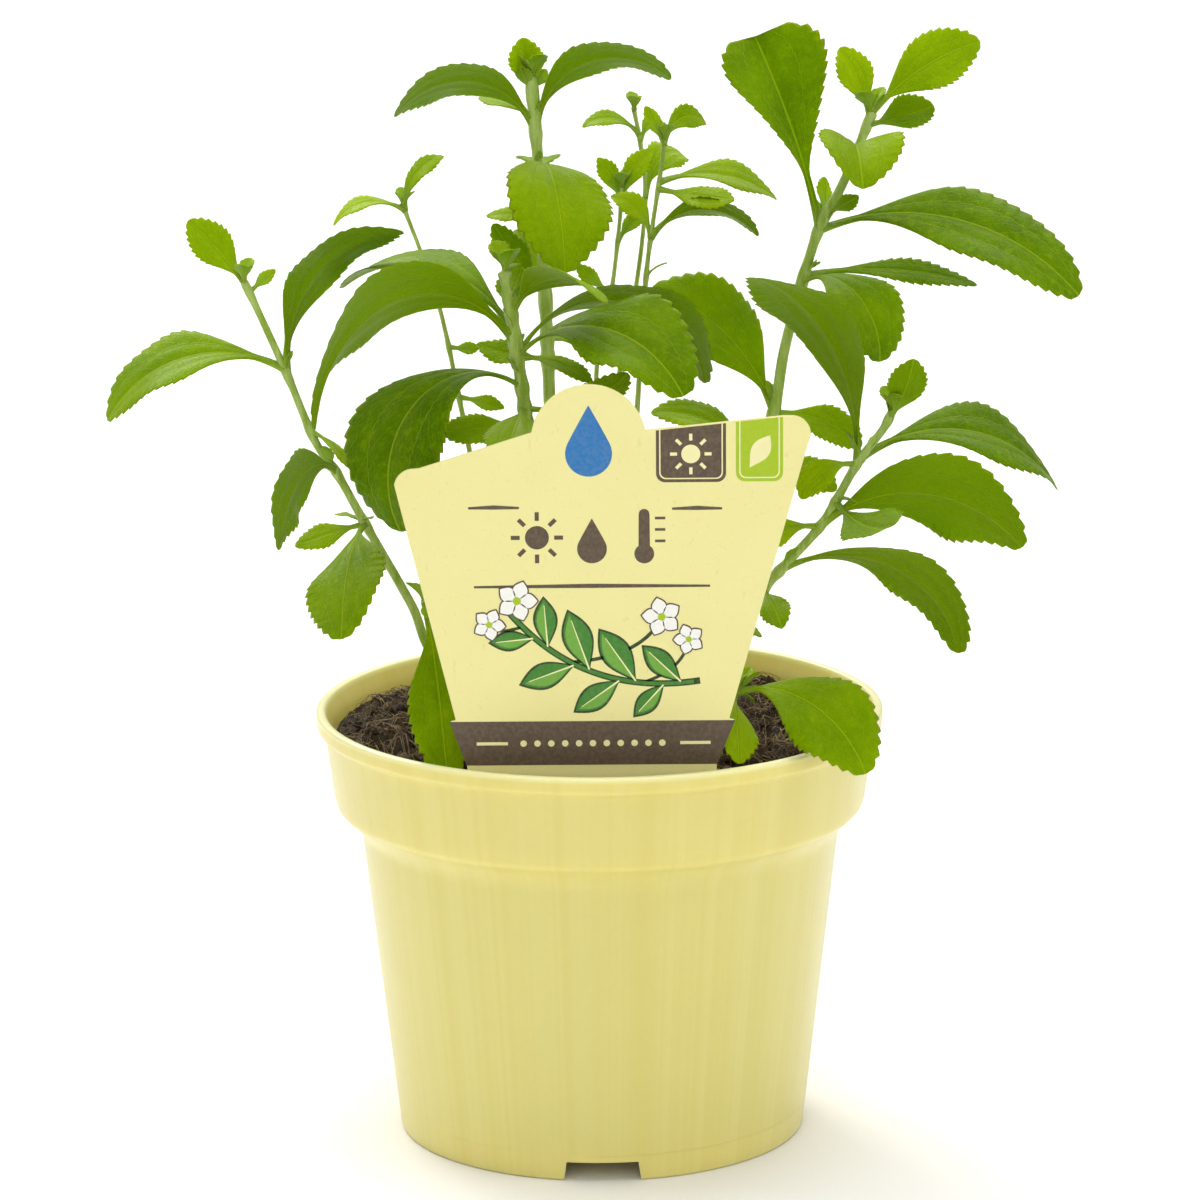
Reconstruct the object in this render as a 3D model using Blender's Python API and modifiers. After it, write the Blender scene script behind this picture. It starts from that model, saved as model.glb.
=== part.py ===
"""Stevia in a plastic herb pot: pot, compost, plant card and leafy stems, at real size in metres."""
import bmesh
import bpy
import numpy as np
from mathutils import Matrix, Vector

MM = 0.001

# Driving dimensions of the pot, in millimetres
RIM_RADIUS = 65.5
RIM_HEIGHT = 100.0
BASE_RADIUS = 47.2
TAPER = 0.113
WALL = 1.7
LIP_HEIGHT = 4.0
SKIRT_RADIUS = 63.4
SKIRT_LOW_RADIUS = 61.5
SKIRT_LOW_HEIGHT = 80.0
SHOULDER_HEIGHT = 73.0
SHOULDER_STEP = 3.2
SHOULDER_ROUND = 2.2
FOOT_RING_WIDTH = 2.6
FLOOR_UNDERSIDE = 5.5
FLOOR_THICKNESS = 1.6
NOTCH_WIDTH = 19.0
NOTCH_HEIGHT = 4.6
NOTCH_REACH = 8.0
NOTCH_ANGLES = (-90, 30, 150)
DRAIN_RADIUS = 4.0
DRAIN_RING_RADIUS = 30.0
DRAIN_COUNT = 8
DRAIN_SEGMENTS = 12
POT_STEPS = 40

# Driving dimensions of the compost, in millimetres
FIT_GAP = 0.3
SOIL_EDGE_HEIGHT = 94.0
SOIL_CROWN = 2.5
SOIL_LUMP = 0.9
SOIL_STEPS = 32
SOIL_RINGS = 6
HOLE_FLOOR = 85.7
HOLE_SEGMENTS = 10

# Driving dimensions of the plant card, in millimetres
CARD_PLANE = -50.0
CARD_THICKNESS = 0.8
CARD_FOOT_HALF_WIDTH = 28.5
CARD_FOOT_HEIGHT = 90.0
CARD_CENTRE = -1.7
BAND_LOW = 99.2
BAND_HIGH = 109.3
BAND_EAR = 1.2
BUMP_CENTRE = (-2.0, 173.2)
BUMP_RADIUS = 12.8
STAKE_HALF_WIDTH = 9.0
STAKE_TIP = 62.0

# Driving dimensions of the leaves, in millimetres and degrees
BLADE_THICKNESS = 0.75
PETIOLE_HALF_WIDTH = 0.8
TOOTH_PITCH = 9.5
TOOTH_DEPTH = 0.13
TOOTHED_FROM = 0.36
SMALL_LEAF = 12.0

# Colours and finish of the pieces
POT_YELLOW = (0.78, 0.70, 0.22)
SOIL_BROWN = (0.045, 0.028, 0.018)
CARD_CREAM = (0.93, 0.86, 0.36)
LEAF_GREEN = (0.16, 0.32, 0.02)


class Leaf:
    """A leaf set on its stem at a share of the stem's length: its compass heading (0 to the
    right, 90 away from the front), rise at the base, droop from base to tip, roll, sweep and
    fold in degrees, and its length and width in millimetres. A higher blunt moves the widest
    part towards the tip, and a lower taper fills out the part before it."""

    def __init__(self, at, heading, rise, droop, length, width, roll=0, sweep=0, fold=8,
                 blunt=1.45, taper=1.6):
        self.at, self.heading, self.rise, self.droop = at, heading, rise, droop
        self.length, self.width, self.roll, self.sweep = length, width, roll, sweep
        self.fold, self.blunt, self.taper = fold, blunt, taper


class Stem:
    """A leafy stem: foot and top radius, the points that its axis passes, and its leaves."""

    def __init__(self, name, foot, top, path, leaves):
        self.name, self.foot, self.top = name, foot, top
        self.path, self.leaves = path, leaves


STEMS = [
    Stem("stem_left", foot=1.4, top=0.9,
         path=[(-14, -6, 86), (-14, -6, 99), (-36.5, -7, 112.5), (-43, -7, 126), (-53, -7, 144.5),
               (-59.5, -6, 156.5), (-64.5, -5, 164), (-70.5, -4, 179), (-77.5, -3, 195),
               (-80, -3, 200.5)],
         leaves=[
             Leaf(0.99, heading=155, rise=52, droop=18, length=21, width=9, roll=-55, sweep=-5),
             Leaf(0.98, heading=20, rise=44, droop=12, length=8, width=3, roll=55),
             Leaf(0.83, heading=-20, rise=95, droop=90, length=51, width=20, roll=-20, sweep=-5),
             Leaf(0.84, heading=175, rise=29, droop=92, length=48, width=20, roll=-25),
             Leaf(0.55, heading=-170, rise=-9, droop=13, length=17, width=7, roll=-35),
             Leaf(0.55, heading=160, rise=34, droop=44, length=8, width=3, roll=0),
             Leaf(0.55, heading=-105, rise=-7, droop=47, length=39, width=21, roll=30, sweep=15),
             Leaf(0.65, heading=-115, rise=35, droop=112, length=39, width=16, roll=90, sweep=5),
             Leaf(0.73, heading=-25, rise=-19, droop=40, length=14, width=5, roll=0),
         ]),
    Stem("stem_thin_left", foot=0.9, top=0.5,
         path=[(-9, 16, 86), (-9, 16, 99), (-25, 20, 130), (-29.5, 22, 154), (-32, 23, 167.5),
               (-36, 24, 187.5), (-40.5, 24, 202), (-44.5, 24, 213)],
         leaves=[
             Leaf(0.99, heading=15, rise=95, droop=85, length=17, width=6, roll=25),
             Leaf(0.99, heading=-180, rise=36, droop=95, length=19, width=7, roll=-15),
             Leaf(0.65, heading=-10, rise=-7, droop=10, length=11, width=4, roll=45),
             Leaf(0.60, heading=-170, rise=17, droop=48, length=15, width=6, roll=-25),
             Leaf(0.74, heading=25, rise=-15, droop=-20, length=8, width=3, roll=65),
         ]),
    Stem("stem_centre_front", foot=1.9, top=1.5,
         path=[(-4, -20, 86), (-4, -20, 99), (-11.5, -20, 125), (-14, -20, 153), (-16.5, -20, 176),
               (-18, -20, 187.5), (-19.5, -20, 199), (-20.5, -20, 205.5)],
         leaves=[
             Leaf(0.84, heading=20, rise=61, droop=144, length=58, width=23, roll=-30, sweep=-20),
             Leaf(0.88, heading=150, rise=57, droop=97, length=52, width=24, roll=-5),
             Leaf(0.86, heading=-150, rise=60, droop=145, length=75, width=27, roll=50, sweep=15),
             Leaf(0.92, heading=-48, rise=60, droop=95, length=36, width=17, roll=-25),
             Leaf(0.84, heading=-30, rise=46, droop=103, length=52, width=26, roll=20, sweep=-10),
             Leaf(0.78, heading=-155, rise=38, droop=163, length=62, width=27, roll=-10, sweep=20),
             Leaf(0.84, heading=-20, rise=4, droop=40, length=19, width=7, roll=15),
             Leaf(0.74, heading=-25, rise=-2, droop=-48, length=29, width=11, roll=-40, sweep=-5),
             Leaf(0.74, heading=-100, rise=-5, droop=21, length=26, width=13, roll=0),
             Leaf(0.71, heading=-170, rise=-2, droop=3, length=20, width=8, roll=-45),
             Leaf(0.92, heading=95, rise=82, droop=8, length=10, width=7, roll=0, fold=18),
             Leaf(1.00, heading=40, rise=43, droop=54, length=5, width=2, roll=0, sweep=5),
             Leaf(0.95, heading=-50, rise=59, droop=0, length=9, width=3, roll=-40),
         ]),
    Stem("stem_centre_tall", foot=1.9, top=1.4,
         path=[(-2, 9, 86), (-2, 9, 99), (-10, 12, 122), (-10.5, 13, 150.5), (-11, 14, 170.5),
               (-11.5, 14, 187), (-12.5, 14, 215.6), (-13.5, 14, 230), (-14.5, 14, 244.3)],
         leaves=[
             Leaf(0.92, heading=-155, rise=69, droop=118, length=43, width=16, roll=40),
             Leaf(0.92, heading=-15, rise=86, droop=127, length=43, width=16, roll=-35),
             Leaf(0.94, heading=140, rise=28, droop=36, length=18, width=7, roll=-10, sweep=-5),
             Leaf(0.86, heading=-82, rise=35, droop=124, length=46, width=25, roll=-12, sweep=5),
             Leaf(0.85, heading=92, rise=31, droop=67, length=24, width=10, roll=0),
             Leaf(0.79, heading=160, rise=19, droop=33, length=14, width=5, roll=-30),
             Leaf(0.68, heading=160, rise=49, droop=-5, length=21, width=8, roll=-35, sweep=-5),
             Leaf(0.67, heading=115, rise=55, droop=24, length=22, width=9, roll=10),
             Leaf(0.97, heading=150, rise=79, droop=0, length=14, width=8, roll=-60, fold=16),
             Leaf(0.98, heading=-145, rise=54, droop=-14, length=7, width=4, roll=35),
             Leaf(0.98, heading=25, rise=57, droop=7, length=6, width=4, roll=35),
             Leaf(0.62, heading=20, rise=-3, droop=37, length=17, width=6, roll=30),
             Leaf(0.59, heading=160, rise=-3, droop=-22, length=18, width=7, roll=-35),
         ]),
    Stem("sprig_back_left", foot=0.9, top=0.5,
         path=[(4, 20, 86), (4, 20, 99), (-3, 22, 119.5), (-0.5, 24, 148), (0, 26, 175),
               (3.5, 28, 192), (5.5, 28, 208.5), (6, 28, 216.5)],
         leaves=[
             Leaf(0.97, heading=165, rise=76, droop=29, length=12, width=5, roll=-50),
             Leaf(0.97, heading=25, rise=77, droop=42, length=15, width=6, roll=35),
             Leaf(0.90, heading=35, rise=58, droop=40, length=10, width=4, roll=35),
             Leaf(0.81, heading=155, rise=27, droop=-17, length=11, width=4, roll=-40),
         ]),
    Stem("sprig_back_middle", foot=0.9, top=0.5,
         path=[(9, 28, 86), (9, 28, 99), (1.5, 30, 117.5), (4, 32, 146), (5, 34, 169.5),
               (9.5, 36, 193), (11.5, 36, 212), (10.5, 36, 224.5), (9, 36, 233)],
         leaves=[
             Leaf(0.96, heading=-180, rise=56, droop=96, length=15, width=6, roll=-25),
             Leaf(0.95, heading=25, rise=69, droop=20, length=8, width=3, roll=40),
             Leaf(1.00, heading=-90, rise=56, droop=35, length=6, width=2, roll=0),
             Leaf(0.86, heading=55, rise=80, droop=119, length=23, width=9, roll=30, sweep=5),
         ]),
    Stem("sprig_back_right", foot=1.0, top=0.5,
         path=[(15, 18, 86), (15, 18, 99), (5, 18, 120.5), (8, 18, 149), (10, 17, 177.5),
               (11.5, 16, 198), (13, 16, 209.5), (15, 16, 222.5), (16, 16, 229.5)],
         leaves=[
             Leaf(0.99, heading=35, rise=82, droop=133, length=16, width=6, roll=50, sweep=5),
             Leaf(0.99, heading=155, rise=65, droop=8, length=10, width=4, roll=-40),
             Leaf(0.93, heading=15, rise=19, droop=60, length=30, width=12, roll=20),
             Leaf(0.92, heading=-30, rise=-6, droop=-6, length=20, width=8, roll=30),
             Leaf(0.84, heading=-15, rise=59, droop=111, length=30, width=11, roll=-35),
             Leaf(0.84, heading=155, rise=85, droop=85, length=15, width=6, roll=-35),
             Leaf(0.78, heading=-10, rise=53, droop=39, length=6, width=2, roll=0),
         ]),
    Stem("stem_right_tall", foot=1.9, top=1.1,
         path=[(24, 6, 86), (24, 6, 99), (27, 6, 123.5), (35.5, 7, 151.5), (40.5, 8, 166.5),
               (43, 8, 181.5), (47, 8, 197), (51, 8, 210), (56, 8, 219.5), (60, 8, 229),
               (63, 8, 236.5)],
         leaves=[
             Leaf(0.81, heading=155, rise=79, droop=23, length=47, width=24, roll=-31, sweep=-21,
                  fold=29, blunt=3.8, taper=0.8),
             Leaf(0.81, heading=0, rise=23, droop=74, length=66, width=25, roll=30, sweep=-10),
             Leaf(0.93, heading=-90, rise=44, droop=103, length=28, width=19, roll=-5, sweep=5,
                  fold=32),
             Leaf(0.99, heading=145, rise=77, droop=28, length=18, width=8, roll=-45, fold=20),
             Leaf(1.00, heading=20, rise=47, droop=36, length=31, width=13, roll=65),
             Leaf(0.98, heading=-30, rise=16, droop=-6, length=18, width=9, roll=-65, fold=20),
             Leaf(0.83, heading=90, rise=68, droop=34, length=11, width=4, roll=35, sweep=-5),
             Leaf(0.84, heading=-45, rise=22, droop=-11, length=11, width=4, roll=-65),
             Leaf(0.74, heading=10, rise=9, droop=28, length=41, width=8, roll=30, sweep=-5),
             Leaf(0.73, heading=-45, rise=30, droop=125, length=35, width=19, roll=10),
             Leaf(0.53, heading=155, rise=71, droop=59, length=43, width=21, roll=-35),
             Leaf(0.53, heading=-20, rise=10, droop=56, length=23, width=9, roll=45),
             Leaf(0.45, heading=175, rise=61, droop=70, length=29, width=11, roll=-25),
             Leaf(0.45, heading=-25, rise=11, droop=47, length=21, width=8, roll=50),
         ]),
    Stem("stem_right_low", foot=1.5, top=1.0,
         path=[(24, -14, 86), (24, -14, 99), (31, -15, 117.5), (37, -16, 130), (42.5, -17, 137),
               (51, -18, 147), (58.5, -19, 160.5), (64.5, -20, 169), (66.5, -20, 173)],
         leaves=[
             Leaf(0.85, heading=-155, rise=95, droop=80, length=63, width=25, roll=5, sweep=30),
             Leaf(0.87, heading=20, rise=30, droop=87, length=56, width=21, roll=25, sweep=5),
             Leaf(0.68, heading=-15, rise=45, droop=96, length=53, width=25, roll=-60),
             Leaf(0.68, heading=-165, rise=12, droop=55, length=20, width=9, roll=-40),
             Leaf(0.98, heading=-45, rise=49, droop=-29, length=17, width=9, roll=-35),
             Leaf(0.98, heading=160, rise=95, droop=26, length=5, width=2, roll=0),
             Leaf(0.54, heading=-5, rise=31, droop=114, length=54, width=21, roll=-35, sweep=15),
             Leaf(0.75, heading=-70, rise=-16, droop=-40, length=36, width=14, roll=25),
             Leaf(0.85, heading=-155, rise=17, droop=85, length=17, width=7, roll=-55),
             Leaf(0.48, heading=-75, rise=-5, droop=31, length=16, width=7, roll=20),
         ]),
    Stem("shoot_front_right", foot=1.2, top=0.9,
         path=[(27, -29, 86), (27, -29, 99), (29.5, -31, 108), (31.5, -31, 111)],
         leaves=[
             Leaf(0.98, heading=-35, rise=23, droop=88, length=42, width=20, roll=35, sweep=-5),
             Leaf(0.92, heading=-85, rise=-3, droop=54, length=22, width=11, roll=-30, sweep=-5),
             Leaf(0.98, heading=35, rise=-6, droop=60, length=6, width=2, roll=0),
         ]),
    Stem("shoot_front_left", foot=1.2, top=0.8,
         path=[(-22, -24, 86), (-22, -24, 99), (-36, -26, 122), (-39.5, -28, 132)],
         leaves=[
             Leaf(0.98, heading=-75, rise=-50, droop=25, length=42, width=15, roll=0),
             Leaf(0.98, heading=20, rise=48, droop=41, length=6, width=2, roll=0),
         ]),
    Stem("shoot_back_left", foot=1.2, top=0.6,
         path=[(-14, 26, 86), (-14, 26, 99), (-15, 30, 112), (-16, 34, 128), (-15, 36, 142)],
         leaves=[
             Leaf(0.45, heading=40, rise=20, droop=60, length=30, width=13, roll=0),
             Leaf(0.45, heading=-165, rise=20, droop=60, length=26, width=11, roll=0),
             Leaf(0.70, heading=110, rise=35, droop=70, length=34, width=15, roll=0),
             Leaf(0.72, heading=-70, rise=35, droop=50, length=16, width=7, roll=0),
             Leaf(0.99, heading=150, rise=50, droop=50, length=18, width=8, roll=0),
             Leaf(0.98, heading=30, rise=50, droop=50, length=18, width=8, roll=0),
         ]),
    Stem("shoot_back_right", foot=1.2, top=0.6,
         path=[(17, 34, 86), (17, 34, 99), (18, 38, 110), (20, 41, 124), (20, 42, 136)],
         leaves=[
             Leaf(0.48, heading=110, rise=20, droop=60, length=24, width=12, roll=0),
             Leaf(0.50, heading=-10, rise=20, droop=60, length=22, width=10, roll=0),
             Leaf(0.75, heading=75, rise=30, droop=70, length=28, width=14, roll=0),
             Leaf(0.99, heading=150, rise=55, droop=50, length=16, width=7, roll=0),
             Leaf(0.98, heading=20, rise=50, droop=50, length=16, width=7, roll=0),
         ]),
]


def clear_scene():
    """Remove whatever the opened scene holds."""
    for obj in list(bpy.data.objects):
        bpy.data.objects.remove(obj, do_unlink=True)


def finish_material(name, colour, roughness):
    """A Principled material with the piece's own colour and roughness."""
    material = bpy.data.materials.new(name)
    material.use_nodes = True
    shader = material.node_tree.nodes["Principled BSDF"]
    shader.inputs["Base Color"].default_value = (*colour, 1.0)
    shader.inputs["Roughness"].default_value = roughness
    shader.inputs["Metallic"].default_value = 0.0
    return material


def mesh_object(name, verts, faces, collection):
    """An object from points in millimetres."""
    mesh = bpy.data.meshes.new(name)
    mesh.from_pydata([Vector(v) * MM for v in verts], [], faces)
    obj = bpy.data.objects.new(name, mesh)
    collection.objects.link(obj)
    return obj


def evaluated_copy(obj):
    """A new mesh with the object's modifiers applied and its place written in, doubles welded."""
    depsgraph = bpy.context.evaluated_depsgraph_get()
    mesh = bpy.data.meshes.new_from_object(obj.evaluated_get(depsgraph))
    mesh.transform(obj.matrix_world)
    work = bmesh.new()
    work.from_mesh(mesh)
    bmesh.ops.remove_doubles(work, verts=work.verts, dist=0.000001)
    work.to_mesh(mesh)
    work.free()
    return mesh


def replace_with_mesh(obj, collection):
    """Swap an object for a plain mesh object of the same name and shape."""
    mesh, name = evaluated_copy(obj), obj.name
    bpy.data.objects.remove(obj, do_unlink=True)
    mesh.name = name
    new = bpy.data.objects.new(name, mesh)
    collection.objects.link(new)
    return new


def screw_profile(name, profile, collection, steps):
    """A turned piece: the (radius, height) outline, in millimetres, is run round +Z."""
    count = len(profile)
    edges = [(i, (i + 1) % count) for i in range(count)]
    mesh = bpy.data.meshes.new(name)
    mesh.from_pydata([Vector((r, 0.0, z)) * MM for r, z in profile], edges, [])
    obj = bpy.data.objects.new(name, mesh)
    collection.objects.link(obj)
    screw = obj.modifiers.new("turn", "SCREW")
    screw.steps = screw.render_steps = steps
    screw.use_merge_vertices = True
    screw.merge_threshold = 0.00001
    return obj


def cylinder(name, radius, low, high, place, collection, segments=16):
    """A standing cylinder between two heights, in millimetres."""
    work = bmesh.new()
    middle = Matrix.Translation(Vector((place[0], place[1], (low + high) / 2)) * MM)
    bmesh.ops.create_cone(work, cap_ends=True, segments=segments, radius1=radius * MM,
                          radius2=radius * MM, depth=(high - low) * MM, matrix=middle)
    mesh = bpy.data.meshes.new(name)
    work.to_mesh(mesh)
    work.free()
    obj = bpy.data.objects.new(name, mesh)
    collection.objects.link(obj)
    return obj


def as_cutter(obj):
    """Mark an object as a cutter, drawn as wire and left out of the render."""
    obj.hide_render = True
    obj.display_type = "WIRE"
    return obj


def cut(obj, collection):
    """Take every object of a collection away from the piece."""
    boolean = obj.modifiers.new("cut", "BOOLEAN")
    boolean.operation = "DIFFERENCE"
    boolean.operand_type = "COLLECTION"
    boolean.solver = "EXACT"
    boolean.collection = collection


def new_collection(name):
    """A collection linked to the scene."""
    collection = bpy.data.collections.new(name)
    bpy.context.scene.collection.children.link(collection)
    return collection


def outer_radius(height):
    """Outside radius of the tapered body at a height."""
    return BASE_RADIUS + TAPER * height


def pot_outside():
    """Outer outline of the pot from lip to foot, as (radius, height) points."""
    low = SHOULDER_HEIGHT - 1.0
    return [(RIM_RADIUS - 0.6, RIM_HEIGHT), (RIM_RADIUS, RIM_HEIGHT - 0.8),
            (RIM_RADIUS, RIM_HEIGHT - LIP_HEIGHT + 0.6),
            (SKIRT_RADIUS + 0.2, RIM_HEIGHT - LIP_HEIGHT - 0.8),
            (SKIRT_LOW_RADIUS, SKIRT_LOW_HEIGHT),
            (SKIRT_LOW_RADIUS - 0.9, SKIRT_LOW_HEIGHT - SHOULDER_ROUND),
            (SKIRT_LOW_RADIUS - SHOULDER_STEP, SKIRT_LOW_HEIGHT - 2 * SHOULDER_ROUND),
            (outer_radius(low) + 0.9, SHOULDER_HEIGHT + 1),
            (outer_radius(low), low), (outer_radius(1.0), 1.0), (BASE_RADIUS - 0.6, 0.0)]


def pot_inside():
    """Inner outline of the pot from the foot ring's inside, under the floor, up to the lip."""
    ring = BASE_RADIUS - FOOT_RING_WIDTH
    floor = FLOOR_UNDERSIDE + FLOOR_THICKNESS
    under = [(ring, 0.0), (ring, FLOOR_UNDERSIDE), (0.0, FLOOR_UNDERSIDE), (0.0, floor)]
    return under + inner_wall(floor, SHOULDER_HEIGHT - 0.5)


def inner_wall(floor, low):
    """Inside of the wall from the floor to the lip, a wall thickness in from the outside."""
    return [(outer_radius(floor) - WALL, floor), (outer_radius(low) - WALL, low),
            (SKIRT_LOW_RADIUS - SHOULDER_STEP - WALL, SKIRT_LOW_HEIGHT - 3.0),
            (SKIRT_LOW_RADIUS - 1.4 - WALL, SKIRT_LOW_HEIGHT - 0.6),
            (SKIRT_RADIUS - WALL, RIM_HEIGHT - LIP_HEIGHT), (RIM_RADIUS - 2.2, RIM_HEIGHT)]


def make_pot(parts, cutters):
    """The pot: a turned shell with a lip, a deep rim, a foot ring, notches and drain holes."""
    pot = screw_profile("pot", pot_outside() + pot_inside(), parts, POT_STEPS)
    for angle in NOTCH_ANGLES:
        turn = Matrix.Rotation(np.radians(angle), 4, "Z")
        place = turn @ Matrix.Translation(Vector((BASE_RADIUS - 1.0, 0, 0)) * MM)
        size = Matrix.Diagonal(Vector((NOTCH_REACH, NOTCH_WIDTH, 2 * NOTCH_HEIGHT)) * MM).to_4x4()
        work = bmesh.new()
        bmesh.ops.create_cube(work, size=1.0, matrix=place @ size)
        mesh = bpy.data.meshes.new("notch")
        work.to_mesh(mesh)
        work.free()
        notch = bpy.data.objects.new("notch", mesh)
        cutters.objects.link(notch)
        as_cutter(notch)
    for index in range(DRAIN_COUNT):
        angle = np.radians(360 / DRAIN_COUNT * (index + 0.5))
        place = (DRAIN_RING_RADIUS * np.cos(angle), DRAIN_RING_RADIUS * np.sin(angle))
        drain = cylinder("drain", DRAIN_RADIUS, FLOOR_UNDERSIDE - 2, FLOOR_UNDERSIDE + 4, place,
                         cutters, DRAIN_SEGMENTS)
        as_cutter(drain)
    cut(pot, cutters)
    return pot


def soil_lumps(x, y):
    """Uneven top of the compost: three crossed waves of unlike length, in millimetres."""
    waves = np.sin(0.41 * x + 0.9) * np.cos(0.37 * y) + np.sin(0.23 * x - 0.52 * y + 2.0)
    return SOIL_LUMP * (waves + 0.7 * np.sin(0.83 * x + 0.61 * y))


def soil_top(radius, edge):
    """Mean height of the compost at a radius: a low crown that falls to the wall."""
    return SOIL_EDGE_HEIGHT + SOIL_CROWN * (1.0 - (radius / edge) ** 2)


def make_soil(parts, cutters):
    """The compost: a turned body a small gap inside the pot, its top raised into lumps."""
    floor = FLOOR_UNDERSIDE + FLOOR_THICKNESS
    wall = [(r - FIT_GAP, z) for r, z in inner_wall(floor, SHOULDER_HEIGHT - 0.5)]
    wall[0] = (wall[0][0], floor + FIT_GAP)
    share = (SOIL_EDGE_HEIGHT - wall[3][1]) / (wall[4][1] - wall[3][1])
    edge = wall[3][0] + share * (wall[4][0] - wall[3][0])
    rings = [edge * k / SOIL_RINGS for k in range(SOIL_RINGS)]
    top = [(r, soil_top(r, edge)) for r in rings]
    profile = [(0.0, floor + FIT_GAP)] + wall[:4] + [(edge, SOIL_EDGE_HEIGHT)] + top[::-1]
    soil = screw_profile("soil", profile[::-1], parts, SOIL_STEPS)
    soil = replace_with_mesh(soil, parts)
    for vertex in soil.data.vertices:
        x, y, z = (c / MM for c in vertex.co)
        radius = float(np.hypot(x, y))
        if z > SOIL_EDGE_HEIGHT - 0.01 and radius < edge - 1.0:
            vertex.co.z += soil_lumps(x, y) * MM * min(1.0, (edge - radius) / 6)
    cut(soil, cutters)
    return soil


def stem_line(path):
    """Smooth axis through the path's points: straight in its hole, then a Catmull-Rom curve
    of 12 steps a span."""
    foot, points = np.array(path[:1], float), np.array(path[1:], float)
    ends = np.vstack([2 * points[0] - points[1], points, 2 * points[-1] - points[-2]])
    t = np.linspace(0, 1, 12, endpoint=False)[:, None]
    spans = []
    for p0, p1, p2, p3 in zip(ends, ends[1:], ends[2:], ends[3:]):
        spans.append(0.5 * (2 * p1 + (p2 - p0) * t + (2 * p0 - 5 * p1 + 4 * p2 - p3) * t ** 2
                            + (3 * p1 - p0 - 3 * p2 + p3) * t ** 3))
    return np.vstack([foot] + spans + [points[-1:]])


def along(line, share):
    """Points at shares of a line's length."""
    run = np.r_[0, np.cumsum(np.linalg.norm(np.diff(line, axis=0), axis=1))]
    return np.stack([np.interp(share, run / run[-1], line[:, k]) for k in range(3)], -1)


def leaf_frame(leaf, base, shares):
    """Midrib points, side and normal directions: the rise falls evenly by the droop."""
    fine = np.linspace(0, 1, 41)
    rise = np.radians(leaf.rise - leaf.droop * fine)
    turn = np.radians(leaf.heading + leaf.sweep * fine)
    ahead = np.stack([np.cos(rise) * np.cos(turn), np.cos(rise) * np.sin(turn), np.sin(rise)], 1)
    steps = (ahead[1:] + ahead[:-1]) / 2 * leaf.length / 40
    rib = base + np.vstack([np.zeros(3), np.cumsum(steps, 0)])
    level = np.stack([-np.sin(turn), np.cos(turn), 0 * turn], 1)
    upper = np.cross(ahead, level)
    roll = np.radians(leaf.roll)
    side = level * np.cos(roll) + upper * np.sin(roll)
    upper = upper * np.cos(roll) - level * np.sin(roll)
    return [np.stack([np.interp(shares, fine, part[:, k]) for k in range(3)], 1)
            for part in (rib, side, upper)]


def half_width(leaf, shares):
    """Outline without teeth: a slim stalk that widens past the middle to a blunt tip."""
    shape = np.sin(np.pi * shares ** leaf.blunt) ** (leaf.taper * (1 - 0.56 * shares))
    return np.maximum(leaf.width / 2 * shape, PETIOLE_HALF_WIDTH * (1 - shares) ** 0.3)


def blade_object(leaf, base, collection):
    """One folded blade with a toothed margin, an open sheet made thick by Solidify."""
    teeth = int(np.clip(round(leaf.length / TOOTH_PITCH), 1, 5))
    stalk = (0.0, 0.14, 0.26) if leaf.length > SMALL_LEAF else (0.0, 0.2)
    notches = TOOTHED_FROM + (1 - TOOTHED_FROM) * (np.arange(teeth + 1) / teeth)
    crests = notches[:-1] + 0.7 * (notches[1:] - notches[:-1])
    shares = np.r_[stalk, notches]
    rib, side, upper = leaf_frame(leaf, base, shares)
    tip_rib, tip_side, tip_upper = leaf_frame(leaf, base, crests)
    width = half_width(leaf, shares)[:, None]
    tip_width = half_width(leaf, crests)[:, None] * (1 + TOOTH_DEPTH)
    fold = np.tan(np.radians(leaf.fold))
    verts = [tuple(p) for p in rib]
    faces = []
    last = len(shares) - 1
    for sign in (1, -1):
        first = len(verts)
        verts += [tuple(p) for p in (rib + sign * side * width + upper * width * fold)[:-1]]
        crest = len(verts)
        verts += [tuple(p) for p in tip_rib + sign * tip_side * tip_width + tip_upper * tip_width * fold]
        for row in range(last):
            here, there = first + row, first + row + 1 if row + 1 < last else last
            tooth = row - len(stalk)
            if tooth < 0:
                strip = [(row, here, there), (row, there, row + 1)]
            else:
                strip = [(row, here, crest + tooth), (row, crest + tooth, row + 1)]
                if row + 1 < last:
                    strip.append((row + 1, crest + tooth, there))
            faces += strip if sign < 0 else [face[::-1] for face in strip]
    blade = mesh_object("blade", verts, faces, collection)
    solid = blade.modifiers.new("thickness", "SOLIDIFY")
    solid.thickness = BLADE_THICKNESS * MM
    solid.offset = 0.0
    return replace_with_mesh(blade, collection)


def stalk_object(stem, line, parts):
    """The stem: a tapered tube on its axis, with filled caps."""
    count = len(stem.path) + 5
    points = np.vstack([line[:1], along(line[1:], np.linspace(0, 1, count - 1))])
    curve = bpy.data.curves.new(stem.name, "CURVE")
    curve.dimensions = "3D"
    curve.bevel_depth = MM
    curve.bevel_resolution = 1
    curve.use_fill_caps = True
    spline = curve.splines.new("POLY")
    spline.points.add(count - 1)
    for point, place, share in zip(spline.points, points, np.linspace(0, 1, count)):
        point.co = (*(place * MM), 1.0)
        point.radius = stem.foot + (stem.top - stem.foot) * share
    obj = bpy.data.objects.new(stem.name, curve)
    parts.objects.link(obj)
    return replace_with_mesh(obj, parts)


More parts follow.
